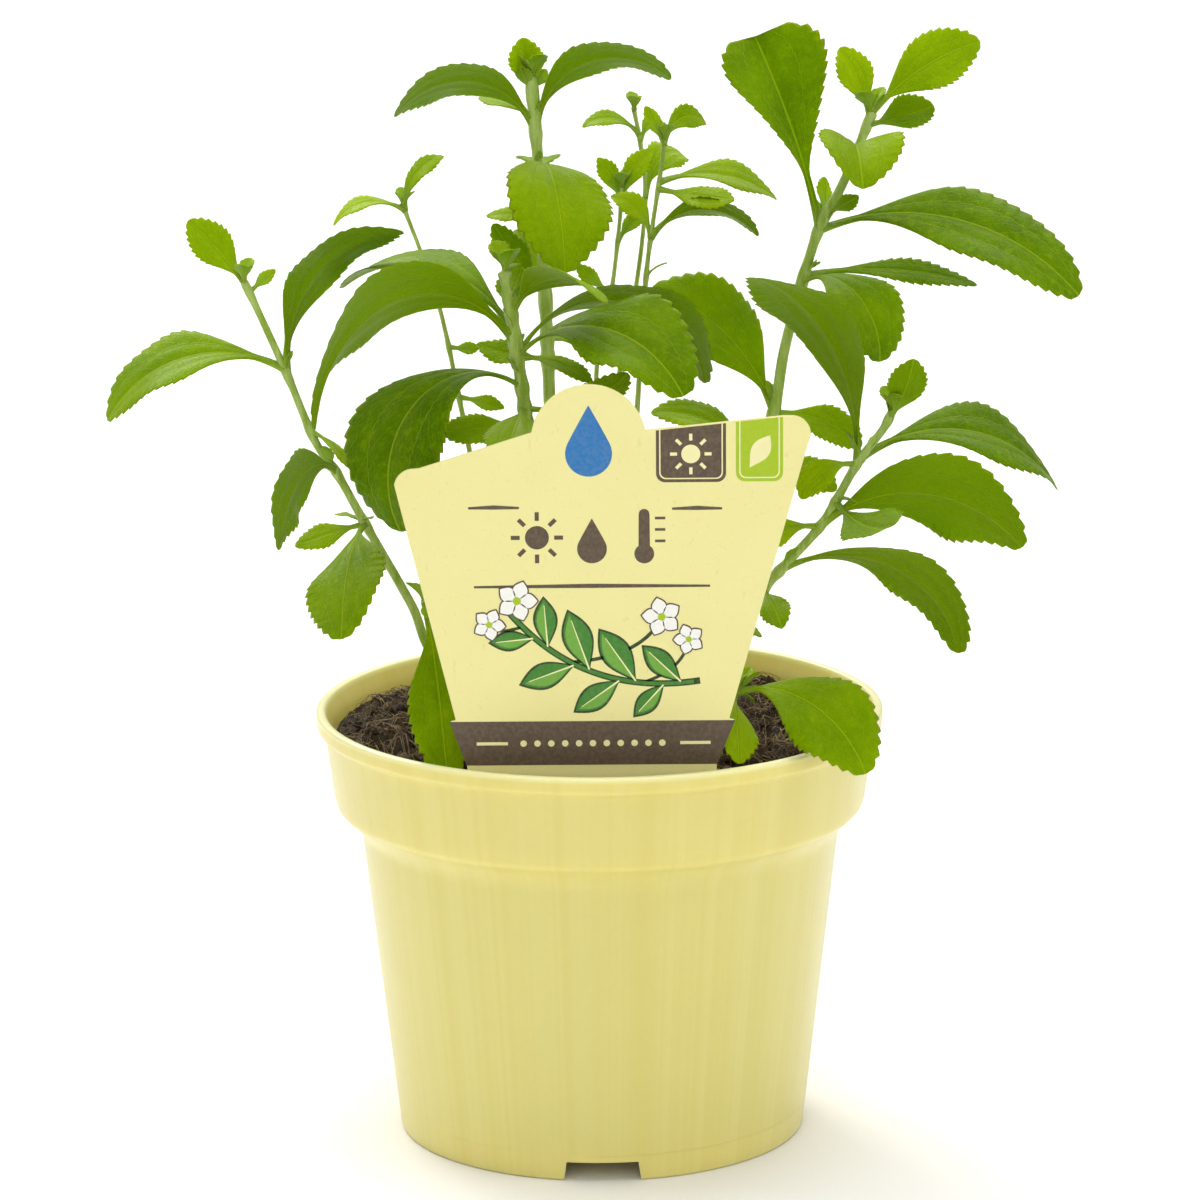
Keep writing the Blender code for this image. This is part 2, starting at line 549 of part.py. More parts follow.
def make_stem(stem, parts, holes):
    """A leafy stem: its tube and its blades in one solid, and the hole that it stands in."""
    line = stem_line(stem.path)
    stalk = stalk_object(stem, line, parts)
    blades = bpy.data.collections.new(stem.name + "_blades")
    bpy.context.scene.collection.children.link(blades)
    for leaf in stem.leaves:
        blade_object(leaf, along(line, leaf.at), blades)
    join = stalk.modifiers.new("join", "BOOLEAN")
    join.operation = "UNION"
    join.operand_type = "COLLECTION"
    join.solver = "MANIFOLD"
    join.collection = blades
    leafy = replace_with_mesh(stalk, parts)
    for blade in list(blades.objects):
        bpy.data.objects.remove(blade, do_unlink=True)
    bpy.data.collections.remove(blades)
    hole_radius = stem.foot + FIT_GAP + 0.1
    hole = cylinder(stem.name + "_hole", hole_radius, HOLE_FLOOR, RIM_HEIGHT + 5, stem.path[0],
                    holes, HOLE_SEGMENTS)
    as_cutter(hole)
    return leafy


def arc(centre, radius, start, end, count):
    """Points of a round stretch, from one angle to another in degrees."""
    angles = np.radians(np.linspace(start, end, count))
    return [(centre[0] + radius * np.cos(a), centre[1] + radius * np.sin(a)) for a in angles]


def card_outline():
    """Front outline of the card and its stake, anticlockwise, as (x, z) points. The foot band's
    upper corners stand out a little past the card's sides."""
    foot, middle = CARD_FOOT_HALF_WIDTH, CARD_CENTRE
    right = [(middle + STAKE_HALF_WIDTH, CARD_FOOT_HEIGHT - 6), (middle + foot - 1, CARD_FOOT_HEIGHT),
             (26.2, BAND_LOW), (29.0 + BAND_EAR, BAND_HIGH), (29.0, BAND_HIGH + 0.3), (46.6, 172.5)]
    bump = arc(BUMP_CENTRE, BUMP_RADIUS, 11, 171, 9)
    left = [(-39.5, 167.3)] + arc((-40.8, 162.8), 4.4, 100, 170, 4)
    left += [(-32.1, BAND_HIGH + 0.3), (-32.1 - BAND_EAR, BAND_HIGH), (-29.7, BAND_LOW)]
    corner = arc((42.9, 174.4), 4.3, -5, 85, 4) + [(41.2, 178.7)]
    shoulder = [(middle + STAKE_HALF_WIDTH, STAKE_TIP + 8)]
    point = [(middle - 2, STAKE_TIP), (middle + 2, STAKE_TIP)]
    stake = [(middle - foot + 1, CARD_FOOT_HEIGHT), (middle - STAKE_HALF_WIDTH, CARD_FOOT_HEIGHT - 6),
             (middle - STAKE_HALF_WIDTH, STAKE_TIP + 8)]
    return point + shoulder + right + corner + bump + left + stake


def flat_plate(name, outline, plane, thickness, collection):
    """A flat outline in the card's plane, as a 2D curve with depth, made a mesh."""
    curve = bpy.data.curves.new(name, "CURVE")
    curve.dimensions = "2D"
    curve.fill_mode = "BOTH"
    curve.extrude = thickness / 2 * MM
    spline = curve.splines.new("POLY")
    spline.points.add(len(outline) - 1)
    for point, (x, z) in zip(spline.points, outline):
        point.co = (x * MM, z * MM, 0.0, 1.0)
    spline.use_cyclic_u = True
    obj = bpy.data.objects.new(name, curve)
    collection.objects.link(obj)
    obj.location = (0.0, plane * MM, 0.0)
    obj.rotation_euler = (np.pi / 2, 0.0, 0.0)
    bpy.context.view_layer.update()
    return replace_with_mesh(obj, collection)


def make_card(parts, holes):
    """The plant card, and the slot that its stake makes in the compost."""
    card = flat_plate("label", card_outline(), CARD_PLANE, CARD_THICKNESS, parts)
    half = CARD_FOOT_HALF_WIDTH + FIT_GAP
    stake = STAKE_HALF_WIDTH + FIT_GAP
    low, middle = CARD_FOOT_HEIGHT - 6 - 3 * FIT_GAP, CARD_CENTRE
    slot = [(middle - stake, STAKE_TIP - FIT_GAP), (middle + stake, STAKE_TIP - FIT_GAP),
            (middle + stake, low), (middle + half, CARD_FOOT_HEIGHT - 3 * FIT_GAP),
            (middle + half + 4, RIM_HEIGHT + 4), (middle - half - 4, RIM_HEIGHT + 4),
            (middle - half, CARD_FOOT_HEIGHT - 3 * FIT_GAP), (middle - stake, low)]
    as_cutter(flat_plate("card_slot", slot, CARD_PLANE, CARD_THICKNESS + 2 * FIT_GAP, holes))
    return card


def main():
    clear_scene()
    parts = new_collection("stevia_plant")
    pot_cutters = new_collection("pot_cutters")
    soil_cutters = new_collection("soil_cutters")
    pot = make_pot(parts, pot_cutters)
    stems = [make_stem(stem, parts, soil_cutters) for stem in STEMS]
    card = make_card(parts, soil_cutters)
    soil = make_soil(parts, soil_cutters)
    pot.data.materials.append(finish_material("pot_plastic", POT_YELLOW, 0.35))
    soil.data.materials.append(finish_material("compost", SOIL_BROWN, 0.95))
    card.data.materials.append(finish_material("card_board", CARD_CREAM, 0.5))
    for leafy in stems:
        leafy.data.materials.append(finish_material(leafy.name + "_green", LEAF_GREEN, 0.6))
    for obj in (pot, soil):
        obj.data.shade_smooth()
        obj.data.set_sharp_from_angle(angle=np.radians(35))


main()
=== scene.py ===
# %% [markdown]
# # A stevia plant in a plastic herb pot
# The real thing is a bushy herb on a shop's shelf: slim hairy stems with pairs of toothed leaves,
# standing in dark peat in a thin yellow pot, with a card pushed in behind the rim. The solid model
# already holds the main sizes and places. This script dresses it: each step says what the piece
# is, how it could be made, and why it is made this way.

import bpy
import numpy as np
from mathutils import Matrix, Vector


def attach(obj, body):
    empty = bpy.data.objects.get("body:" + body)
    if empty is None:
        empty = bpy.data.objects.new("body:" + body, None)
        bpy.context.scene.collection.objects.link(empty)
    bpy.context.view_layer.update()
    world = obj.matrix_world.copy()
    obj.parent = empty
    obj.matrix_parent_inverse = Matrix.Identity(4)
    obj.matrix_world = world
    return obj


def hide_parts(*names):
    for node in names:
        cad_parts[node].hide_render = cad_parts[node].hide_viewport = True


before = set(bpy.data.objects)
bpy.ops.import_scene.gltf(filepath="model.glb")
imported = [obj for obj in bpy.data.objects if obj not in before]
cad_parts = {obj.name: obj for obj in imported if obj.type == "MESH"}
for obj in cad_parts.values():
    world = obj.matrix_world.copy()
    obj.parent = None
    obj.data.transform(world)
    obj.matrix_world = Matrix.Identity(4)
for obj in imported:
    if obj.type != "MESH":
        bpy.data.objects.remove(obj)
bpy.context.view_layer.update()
MM = 0.001
random = np.random.default_rng(23)
print("nodes in the frame:", sorted(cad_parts))

# %% [markdown]
# ## Camera
# The camera stands where the photographer's did: far off with a long lens, looking a little down.
# Its place follows from the pot's rim and foot, which the lens draws as ellipses. The far stand
# is why the pot's sides look almost parallel.

# %% Camera at the photograph's angle
CAMERA_DISTANCE = 1500.0
CAMERA_PITCH = np.radians(13.6)
CAMERA_ROLL = np.radians(-0.4)
CAMERA_AIM = np.array([0.3, 0.0, 124.9])
CAMERA_LENS = 195.4


def add_camera():
    """Place the camera on a sphere round the aim point and turn it to face that point."""
    pitch, roll = CAMERA_PITCH, CAMERA_ROLL
    ahead = np.array([0.0, np.cos(pitch), -np.sin(pitch)])
    level = np.array([1.0, 0.0, 0.0])
    above = np.cross(level, ahead)
    right = level * np.cos(roll) + above * np.sin(roll)
    up = above * np.cos(roll) - level * np.sin(roll)
    place = (CAMERA_AIM - ahead * CAMERA_DISTANCE) * MM
    lens = bpy.data.cameras.new("photo_camera")
    lens.lens, lens.sensor_width, lens.clip_end = CAMERA_LENS, 36.0, 20.0
    camera = bpy.data.objects.new("photo_camera", lens)
    bpy.context.scene.collection.objects.link(camera)
    matrix = np.eye(4)
    matrix[:3, 0], matrix[:3, 1], matrix[:3, 2], matrix[:3, 3] = right, up, -ahead, place
    camera.matrix_world = Matrix(matrix.tolist())
    bpy.context.scene.camera = camera
    return camera


camera = add_camera()
print("camera at", [round(v, 3) for v in camera.location])

# %% [markdown]
# ## Meshes from arrays
# Most pieces below are grids of points: rings carried along a path. Whole arrays are
# worked out at once, then handed to Blender in one go with foreach_set, which is far quicker than
# adding vertices one by one and keeps the formula in plain sight.

# %% Mesh helpers
def add_mesh(name, points, quads, tris=(), smooth=True):
    """A mesh object from points in millimetres and index arrays of four and three corners."""
    points = np.asarray(points, float).reshape(-1, 3)
    quads = np.asarray(quads, int).reshape(-1, 4)
    tris = np.asarray(tris, int).reshape(-1, 3)
    mesh = bpy.data.meshes.new(name)
    mesh.vertices.add(len(points))
    mesh.vertices.foreach_set("co", (points * MM).ravel())
    mesh.loops.add(quads.size + tris.size)
    mesh.loops.foreach_set("vertex_index", np.r_[quads.ravel(), tris.ravel()])
    mesh.polygons.add(len(quads) + len(tris))
    starts = np.r_[np.arange(len(quads)) * 4, quads.size + np.arange(len(tris)) * 3]
    mesh.polygons.foreach_set("loop_start", starts)
    mesh.update(calc_edges=True)
    mesh.polygons.foreach_set("use_smooth", np.full(len(mesh.polygons), smooth))
    obj = bpy.data.objects.new(name, mesh)
    bpy.context.scene.collection.objects.link(obj)
    return obj


def unit(vectors):
    """Vectors divided by their own lengths."""
    return vectors / np.linalg.norm(vectors, axis=-1, keepdims=True)


def turn_steps(count):
    """Angles of one whole turn in even steps."""
    return np.linspace(0, 2 * np.pi, count, endpoint=False)


def curve(start, bend, end, count=18):
    """A quadratic curve from start to end, drawn towards the bend."""
    t = np.linspace(0, 1, count)[:, None]
    start, bend, end = (np.array(p, float) for p in (start, bend, end))
    return (1 - t) ** 2 * start + 2 * t * (1 - t) * bend + t ** 2 * end


def ring_faces(rows, ring, start=0):
    """Corners of the quads between rings of points: row by row, round each ring."""
    row = np.arange(rows - 1)[:, None] * ring
    here = np.arange(ring)[None, :]
    there = (here + 1) % ring
    corners = np.stack([row + here, row + there, row + ring + there, row + ring + here], -1)
    return corners.reshape(-1, 4) + start


def end_fans(rows, ring, start, first_centre, last_centre):
    """Triangles that close the first and the last ring round a centre point each."""
    here = np.arange(ring)
    there = (here + 1) % ring
    base = start + (rows - 1) * ring
    first = np.stack([there + start, here + start, np.full(ring, first_centre)], -1)
    last = np.stack([here + base, there + base, np.full(ring, last_centre)], -1)
    return np.vstack([first, last])


def add_tube(name, rings, first, last, smooth=True):
    """A closed piece from rings of points, with one more point in the middle of each end."""
    rings = np.asarray(rings, float)
    rows, ring = rings.shape[:2]
    fans = end_fans(rows, ring, 0, rows * ring, rows * ring + 1)
    points = np.vstack([rings.reshape(-1, 3), [first, last]])
    return add_mesh(name, points, ring_faces(rows, ring), fans, smooth)


def finish_piece(obj, material, nodes=()):
    """Give a piece its finish, tie it to the body, and hide the solids that it stands for."""
    obj.data.materials.append(material)
    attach(obj, "root")
    if nodes:
        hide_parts(*nodes)
    print(obj.name, len(obj.data.polygons), "faces")
    return obj

# %% [markdown]
# ## Shader maths
# A finish that varies over a surface is arithmetic on coordinates and noise. Typing it as Python
# expressions is easier to read than a list of nodes, so a small class wraps a socket and turns
# each operator into a Math node.

# %% Sockets that can be added and multiplied
class Value:
    """A shader output that can be used in Python arithmetic."""

    def __init__(self, finish, socket):
        self.finish, self.socket = finish, socket

    def join(self, operation, *values):
        sockets = dict(enumerate(values))
        return self.finish.node("ShaderNodeMath", {"operation": operation}, sockets)

    def __add__(self, other):
        return self.join("ADD", self, other)

    def __radd__(self, other):
        return self.join("ADD", other, self)

    def __sub__(self, other):
        return self.join("SUBTRACT", self, other)

    def __rsub__(self, other):
        return self.join("SUBTRACT", other, self)

    def __mul__(self, other):
        return self.join("MULTIPLY", self, other)

    def __abs__(self):
        return self.join("ABSOLUTE", self)

    def cycle(self):
        """The part after the decimal point, which repeats a pattern."""
        return self.join("FRACT", self)

    def most(self, other):
        return self.join("MAXIMUM", self, other)


class Finish:
    """A material that is built up from nodes."""

    def __init__(self, name, **constants):
        self.material = bpy.data.materials.new(name)
        self.material.use_nodes = True
        self.tree = self.material.node_tree
        self.shader = self.tree.nodes["Principled BSDF"]
        for key, value in constants.items():
            self.shader.inputs[key.replace("_", " ")].default_value = value

    def node(self, kind, settings, sockets, out=0):
        """Add a node: its settings first, then values or links for its sockets."""
        node = self.tree.nodes.new(kind)
        for key, value in settings.items():
            if key == "stops":
                ramp = node.color_ramp
                while len(ramp.elements) < len(value):
                    ramp.elements.new(0.5)
                for element, (place, colour) in zip(ramp.elements, value):
                    element.position, element.color = place, colour
            else:
                setattr(node, key, value)
        for key, value in sockets.items():
            self.feed(node.inputs[key], value)
        return Value(self, node.outputs[out])

    def feed(self, target, value):
        """Link a value to a socket, or set the socket if it is a plain number or colour."""
        if isinstance(value, Value):
            self.tree.links.new(value.socket, target)
        else:
            target.default_value = value

    def place(self):
        return self.node("ShaderNodeTexCoord", {}, {}, "Object")

    def stretch(self, vector, scale):
        return self.node("ShaderNodeMapping", {}, {"Vector": vector, "Scale": scale})

    def axes(self, vector):
        """The three parts of a vector."""
        split = self.node("ShaderNodeSeparateXYZ", {}, {"Vector": vector}).socket.node
        return [Value(self, split.outputs[k]) for k in range(3)]

    def noise(self, vector, scale, detail=3.0, roughness=0.5):
        sockets = {"Vector": vector, "Scale": scale, "Detail": detail, "Roughness": roughness}
        return self.node("ShaderNodeTexNoise", {}, sockets)

    def cells(self, vector, scale, feature="F1"):
        sockets = {"Vector": vector, "Scale": scale}
        return self.node("ShaderNodeTexVoronoi", {"feature": feature}, sockets, "Distance")

    def outward(self, vector, height_scale):
        """The level direction away from the upright axis, with a squeezed height as third part.
        Noise read there makes bands that run straight up a turned wall."""
        x, y, z = self.axes(vector)
        level = self.node("ShaderNodeCombineXYZ", {}, {0: x, 1: y})
        unit = self.axes(self.node("ShaderNodeVectorMath", {"operation": "NORMALIZE"}, {0: level}))
        parts = {0: unit[0], 1: unit[1], 2: z * height_scale}
        return self.node("ShaderNodeCombineXYZ", {}, parts)

    def fade(self, value, low, high):
        """0 below low, 1 above high, and smooth between them; high may be the smaller."""
        sockets = {"Value": value, "From Min": low, "From Max": high}
        return self.node("ShaderNodeMapRange", {"interpolation_type": "SMOOTHSTEP"}, sockets)

    def mix(self, share, first, second):
        """A colour between two others."""
        sockets = {"Factor": share, 6: first, 7: second}
        return self.node("ShaderNodeMix", {"data_type": "RGBA"}, sockets, 2)

    def ramp(self, value, stops):
        return self.node("ShaderNodeValToRGB", {"stops": stops}, {"Fac": value})

    def bump(self, height, distance, strength=1.0):
        sockets = {"Height": height, "Distance": distance * MM, "Strength": strength}
        return self.node("ShaderNodeBump", {}, sockets)

    def set(self, **links):
        for key, value in links.items():
            self.feed(self.shader.inputs[key.replace("_", " ")], value)


def shade(red, green, blue):
    """A colour from screen values of 0 to 255 to the linear values that shaders use."""
    screen = np.array([red, green, blue]) / 255
    linear = np.where(screen < 0.04045, screen / 12.92, ((screen + 0.055) / 1.055) ** 2.4)
    return (*linear.tolist(), 1.0)

# %% [markdown]
# ## The pot
# Herb pots are moulded by the million in thin polypropylene: a narrow lip, a deep straight
# rim, a rounded shoulder where pots nest, a tapered wall, and a foot ring with notches that let
# water out. One outline turned round the axis makes all of it. The solid model turns the same
# outline in forty steps; here it has 288, with rounder corners, so its edge is smooth.

# %% Pot outline and turned shell
RIM_RADIUS, RIM_HEIGHT, LIP_HEIGHT, WALL = 65.5, 100.0, 4.0, 1.7
BASE_RADIUS, TAPER = 47.2, 0.113
SKIRT_RADIUS, SKIRT_LOW_RADIUS, SKIRT_LOW_HEIGHT = 63.4, 61.5, 80.0
SHOULDER_HEIGHT, FLOOR_UNDERSIDE, FLOOR_THICKNESS = 73.0, 5.5, 1.6
NOTCH_WIDTH, NOTCH_HEIGHT, NOTCH_ANGLES = 19.0, 4.6, (-90, 30, 150)
DRAIN_RADIUS, DRAIN_RING_RADIUS, DRAIN_COUNT = 4.0, 30.0, 8
POT_STEPS = 288


def body_radius(height):
    """Outside radius of the tapered wall at a height."""
    return BASE_RADIUS + TAPER * height


def round_corners(outline, reach):
    """Swap each corner of an outline for a short curve that starts and ends a reach away."""
    points = np.array(outline, float)
    rounded = [points[:1]]
    for before, corner, after, size in zip(points, points[1:], points[2:], reach):
        size = min(size, np.linalg.norm(before - corner) / 2.2, np.linalg.norm(after - corner) / 2.2)
        start = corner + (before - corner) / np.linalg.norm(before - corner) * size
        end = corner + (after - corner) / np.linalg.norm(after - corner) * size
        rounded.append(curve(start, corner, end, 7))
    return np.vstack(rounded + [points[-1:]])


def pot_outline():
    """The pot's section from the drain floor's middle, under it, up the outside and back in."""
    ring = BASE_RADIUS - 2.6
    low, floor = SHOULDER_HEIGHT - 1.0, FLOOR_UNDERSIDE + FLOOR_THICKNESS
    corners = [(0.01, FLOOR_UNDERSIDE, 0), (ring, FLOOR_UNDERSIDE, 0.6), (ring, 0.0, 0.4),
               (BASE_RADIUS - 0.2, 0.0, 0.7), (body_radius(low), low, 2.2),
               (SKIRT_LOW_RADIUS - 3.2, SKIRT_LOW_HEIGHT - 4.4, 1.2),
               (SKIRT_LOW_RADIUS - 0.6, SKIRT_LOW_HEIGHT - 2.6, 2.0),
               (SKIRT_LOW_RADIUS, SKIRT_LOW_HEIGHT, 1.5),
               (SKIRT_RADIUS + 0.2, RIM_HEIGHT - LIP_HEIGHT - 0.9, 0.6),
               (RIM_RADIUS - 0.1, RIM_HEIGHT - LIP_HEIGHT + 0.2, 0.9),
               (RIM_RADIUS, RIM_HEIGHT - 0.1, 1.0), (RIM_RADIUS - 2.0, RIM_HEIGHT, 0.7),
               (SKIRT_RADIUS - WALL, RIM_HEIGHT - LIP_HEIGHT, 1.0),
               (SKIRT_LOW_RADIUS - 1.4 - WALL, SKIRT_LOW_HEIGHT - 0.6, 1.5),
               (SKIRT_LOW_RADIUS - 3.2 - WALL, SKIRT_LOW_HEIGHT - 3.0, 1.5),
               (body_radius(low) - WALL, low + 0.5, 1.5),
               (body_radius(floor) - WALL, floor, 1.5), (0.01, floor, 0)]
    return round_corners([c[:2] for c in corners], [c[2] for c in corners[1:-1]])


def turn_outline(name, outline, steps):
    """A surface of revolution: each (radius, height) point is swept round the upright axis."""
    angle = turn_steps(steps)
    radius, height = outline[:, :1], outline[:, 1:]
    points = np.stack([radius * np.cos(angle), radius * np.sin(angle), height + 0 * angle], -1)
    return add_tube(name, points, [0, 0, outline[0, 1]], [0, 0, outline[-1, 1]])


def add_block(name, centre, size, turn, taper=1.0):
    """A closed six-sided block, narrower at the top by its taper, turned about the axis."""
    half = np.array(size) / 2
    signs = np.array([(x, y, z) for z in (-1, 1) for x, y in ((-1, -1), (1, -1), (1, 1), (-1, 1))])
    corners = signs * half * np.where(signs[:, 2:] > 0, [1, taper, 1], 1) + centre
    cosine, sine = np.cos(turn), np.sin(turn)
    spin = np.array([[cosine, sine, 0], [-sine, cosine, 0], [0, 0, 1]])
    sides = [(0, 3, 2, 1), (4, 5, 6, 7), (0, 1, 5, 4), (1, 2, 6, 5), (2, 3, 7, 6), (3, 0, 4, 7)]
    return add_mesh(name, corners @ spin, sides, smooth=False)


def add_rod(name, radius, low, high, place, sides=32):
    """A closed upright cylinder."""
    angle = turn_steps(sides)
    ring = np.stack([radius * np.cos(angle) + place[0], radius * np.sin(angle) + place[1]], -1)
    rings = [np.c_[ring, np.full(sides, z)] for z in (low, high)]
    return add_tube(name, rings, [*place, low], [*place, high], smooth=False)


def cut_away(obj, cutters):
    """Take the cutters out of a piece by a Boolean, apply it, and remove them."""
    for cutter in cutters:
        modifier = obj.modifiers.new("cut", "BOOLEAN")
        modifier.operation, modifier.solver, modifier.object = "DIFFERENCE", "EXACT", cutter
    depsgraph = bpy.context.evaluated_depsgraph_get()
    mesh = bpy.data.meshes.new_from_object(obj.evaluated_get(depsgraph))
    obj.modifiers.clear()
    obj.data = mesh
    for cutter in cutters:
        bpy.data.objects.remove(cutter, do_unlink=True)


def make_pot():
    """The turned shell with its foot notches and drain holes cut out."""
    pot = turn_outline("pot_shell", pot_outline(), POT_STEPS)
    notches = [add_block("notch", (BASE_RADIUS - 1, 0, 0), (8, NOTCH_WIDTH, 2 * NOTCH_HEIGHT),
                         np.radians(angle), 0.86) for angle in NOTCH_ANGLES]
    spots = np.radians(360 / DRAIN_COUNT * (np.arange(DRAIN_COUNT) + 0.5))
    drains = [add_rod("drain", DRAIN_RADIUS, FLOOR_UNDERSIDE - 2, FLOOR_UNDERSIDE + 4,
                      (DRAIN_RING_RADIUS * np.cos(a), DRAIN_RING_RADIUS * np.sin(a))) for a in spots]
    cut_away(pot, notches + drains)
    pot.data.shade_smooth()
    pot.data.set_sharp_from_angle(angle=np.radians(40))
    return pot

# %% [markdown]
# Pale polypropylene is not one flat yellow. The flow of the plastic leaves faint upright bands,
# handling leaves cloudy patches that change the gloss, and the wall is slightly see-through, which
# a little subsurface scattering gives. The bands are noise read along the direction away from the
# axis, so they run straight up. Low on the wall a thin raised line shows where the tool parted. The top
# of the lip is painted paler: a painted highlight where the rounded lip catches the light from above.

# %% Pot plastic
POT_YELLOW, POT_DEEP = shade(233, 220, 134), shade(229, 215, 124)
# Painted highlight: a paler colour painted over the top of the lip, from the first height to the
# second.
POT_LIP_HIGHLIGHT = shade(252, 246, 188)
LIP_HIGHLIGHT_FROM, LIP_HIGHLIGHT_FULL, PARTING_HEIGHT = 0.0984, 0.0998, 0.0064       # metres, as the shader reads them


def pot_plastic():
    finish = Finish("pot_plastic", Subsurface_Weight=0.45, Subsurface_Scale=0.005,
                    Specular_IOR_Level=0.5, Coat_Roughness=0.2)
    finish.shader.inputs["Subsurface Radius"].default_value = (1.0, 0.9, 0.4)
    place = finish.place()
    way = finish.outward(place, 0.12)
    wide, fine = finish.noise(way, 9.0, 1.0), finish.noise(way, 34.0, 1.0)
    cloud = finish.noise(place, 26.0, 3.0)
    share = wide * 0.45 + fine * 0.35 + cloud * 0.25
    colour = finish.mix(finish.fade(share, 0.38, 0.72), POT_YELLOW, POT_DEEP)
    height = finish.axes(place)[2]
    # Painted highlight: the top of the lip is painted paler, where the rounded lip catches the light
    # from above.
    colour = finish.mix(finish.fade(height, LIP_HIGHLIGHT_FROM, LIP_HIGHLIGHT_FULL) * 0.8, colour, POT_LIP_HIGHLIGHT)
    parting = finish.fade(abs(height - PARTING_HEIGHT), 0.00035, 0.0001) * finish.fade(cloud, 0.4, 0.5)
    grain = finish.noise(place, 2400.0, 2.0)
    finish.set(Base_Color=colour, Roughness=0.27 + cloud * 0.1 + grain * 0.05,
               Normal=finish.bump(grain * 0.15 + fine * 0.2 + parting * 3.0, 0.05, 0.7),
               Coat_Weight=cloud * 0.3)
    return finish.material


finish_piece(make_pot(), pot_plastic(), ["pot"])

# %% [markdown]
# ## The compost
# Potting mix is dark peat: soft lumps, crumbs and pale fibres. The heights of the bed are a formula,
# the solid model's own crossed waves with finer noise on top, and loose crumbs and fibres are
# strewn over it by seeded draws. Real geometry is used, because the bed is seen at a low angle
# where a bump map would look flat.

# %% Bed of compost
SOIL_EDGE_HEIGHT, SOIL_CROWN, SOIL_LUMP, SOIL_RIM = 94.0, 2.5, 0.9, 60.9
SOIL_FOOT_HEIGHT, SOIL_RINGS, SOIL_STEPS = 7.4, 90, 300
CRUMB_COUNT, FIBRE_COUNT = 2200, 3600
CARD_PLANE, CARD_THICKNESS, CARD_CENTRE, CARD_HALF_REACH = -50.0, 0.8, -1.7, 31


def soil_height(x, y):
    """Height of the bed: a low crown, three crossed waves and finer crumbs between them."""
    radius = np.hypot(x, y)
    waves = np.sin(0.41 * x + 0.9) * np.cos(0.37 * y) + np.sin(0.23 * x - 0.52 * y + 2.0)
    waves = waves + 0.7 * np.sin(0.83 * x + 0.61 * y)
    crown = SOIL_EDGE_HEIGHT + SOIL_CROWN * (1 - (radius / SOIL_RIM) ** 2)
    crumbs = 0.34 * np.sin(2.1 * x + 1.3 * np.sin(1.7 * y)) * np.sin(1.9 * y + np.sin(2.3 * x))
    fine = 0.2 * np.sin(5.3 * x + 2 * np.sin(4.1 * y)) * np.sin(4.7 * y + 2 * np.sin(3.9 * x))
    return crown + SOIL_LUMP * waves * np.clip((SOIL_RIM - radius) / 6, 0, 1) + crumbs + fine


def make_soil():
    """A round heightfield with a skirt that goes down inside the pot and a flat underside."""
    angle = turn_steps(SOIL_STEPS)
    radius = SOIL_RIM * (np.arange(SOIL_RINGS, 0, -1) / SOIL_RINGS)[:, None]
    x, y = radius * np.cos(angle), radius * np.sin(angle)
    top = np.stack([x, y, soil_height(x, y)], -1)
    skirt = [(body_radius(z) - 2.0, z) for z in (SOIL_FOOT_HEIGHT, 72.5)] + [(56.3, 77.0), (58.1, 79.4)]
    low = [np.stack([r * np.cos(angle), r * np.sin(angle), 0 * angle + z], -1) for r, z in skirt]
    crown = [0, 0, float(soil_height(0.0, 0.0))]
    return add_tube("soil_bed", np.vstack([np.array(low), top]), [0, 0, SOIL_FOOT_HEIGHT], crown)


def beside_card(x, y, gap):
    """Move places at the card or in front of it to a gap behind it."""
    near = (np.abs(x - CARD_CENTRE) < CARD_HALF_REACH) & (y < CARD_PLANE + gap)
    return np.where(near, CARD_PLANE + gap, y)


def scatter(count, reach):
    """Places over a disc, evenly spread by area, with the bed's height at each."""
    radius, angle = reach * np.sqrt(random.random(count)), 2 * np.pi * random.random(count)
    x, y = radius * np.cos(angle), radius * np.sin(angle)
    y = beside_card(x, y, 2.4)
    return np.stack([x, y, soil_height(x, y)], -1)


def make_crumbs(count):
    """Loose crumbs: a lump of eight faces copied to many places, each stretched and turned."""
    lump = np.array([(1, 0, 0), (-1, 0, 0), (0, 1, 0), (0, -1, 0), (0, 0, 1), (0, 0, -1)], float)
    sides = [(0, 2, 4), (2, 1, 4), (1, 3, 4), (3, 0, 4), (2, 0, 5), (1, 2, 5), (3, 1, 5), (0, 3, 5)]
    size = random.gamma(1.8, 0.34, count)[:, None, None] + 0.25
    shape = lump * size * (0.6 + 0.8 * random.random((count, 6, 3)))
    turn = 2 * np.pi * random.random((count, 1))
    x = shape[..., 0] * np.cos(turn) - shape[..., 1] * np.sin(turn)
    y = shape[..., 0] * np.sin(turn) + shape[..., 1] * np.cos(turn)
    points = np.stack([x, y, shape[..., 2] * 0.8], -1) + scatter(count, SOIL_RIM - 1.2)[:, None]
    faces = np.array(sides) + 6 * np.arange(count)[:, None, None]
    return add_mesh("soil_crumbs", points, [], faces, smooth=False)


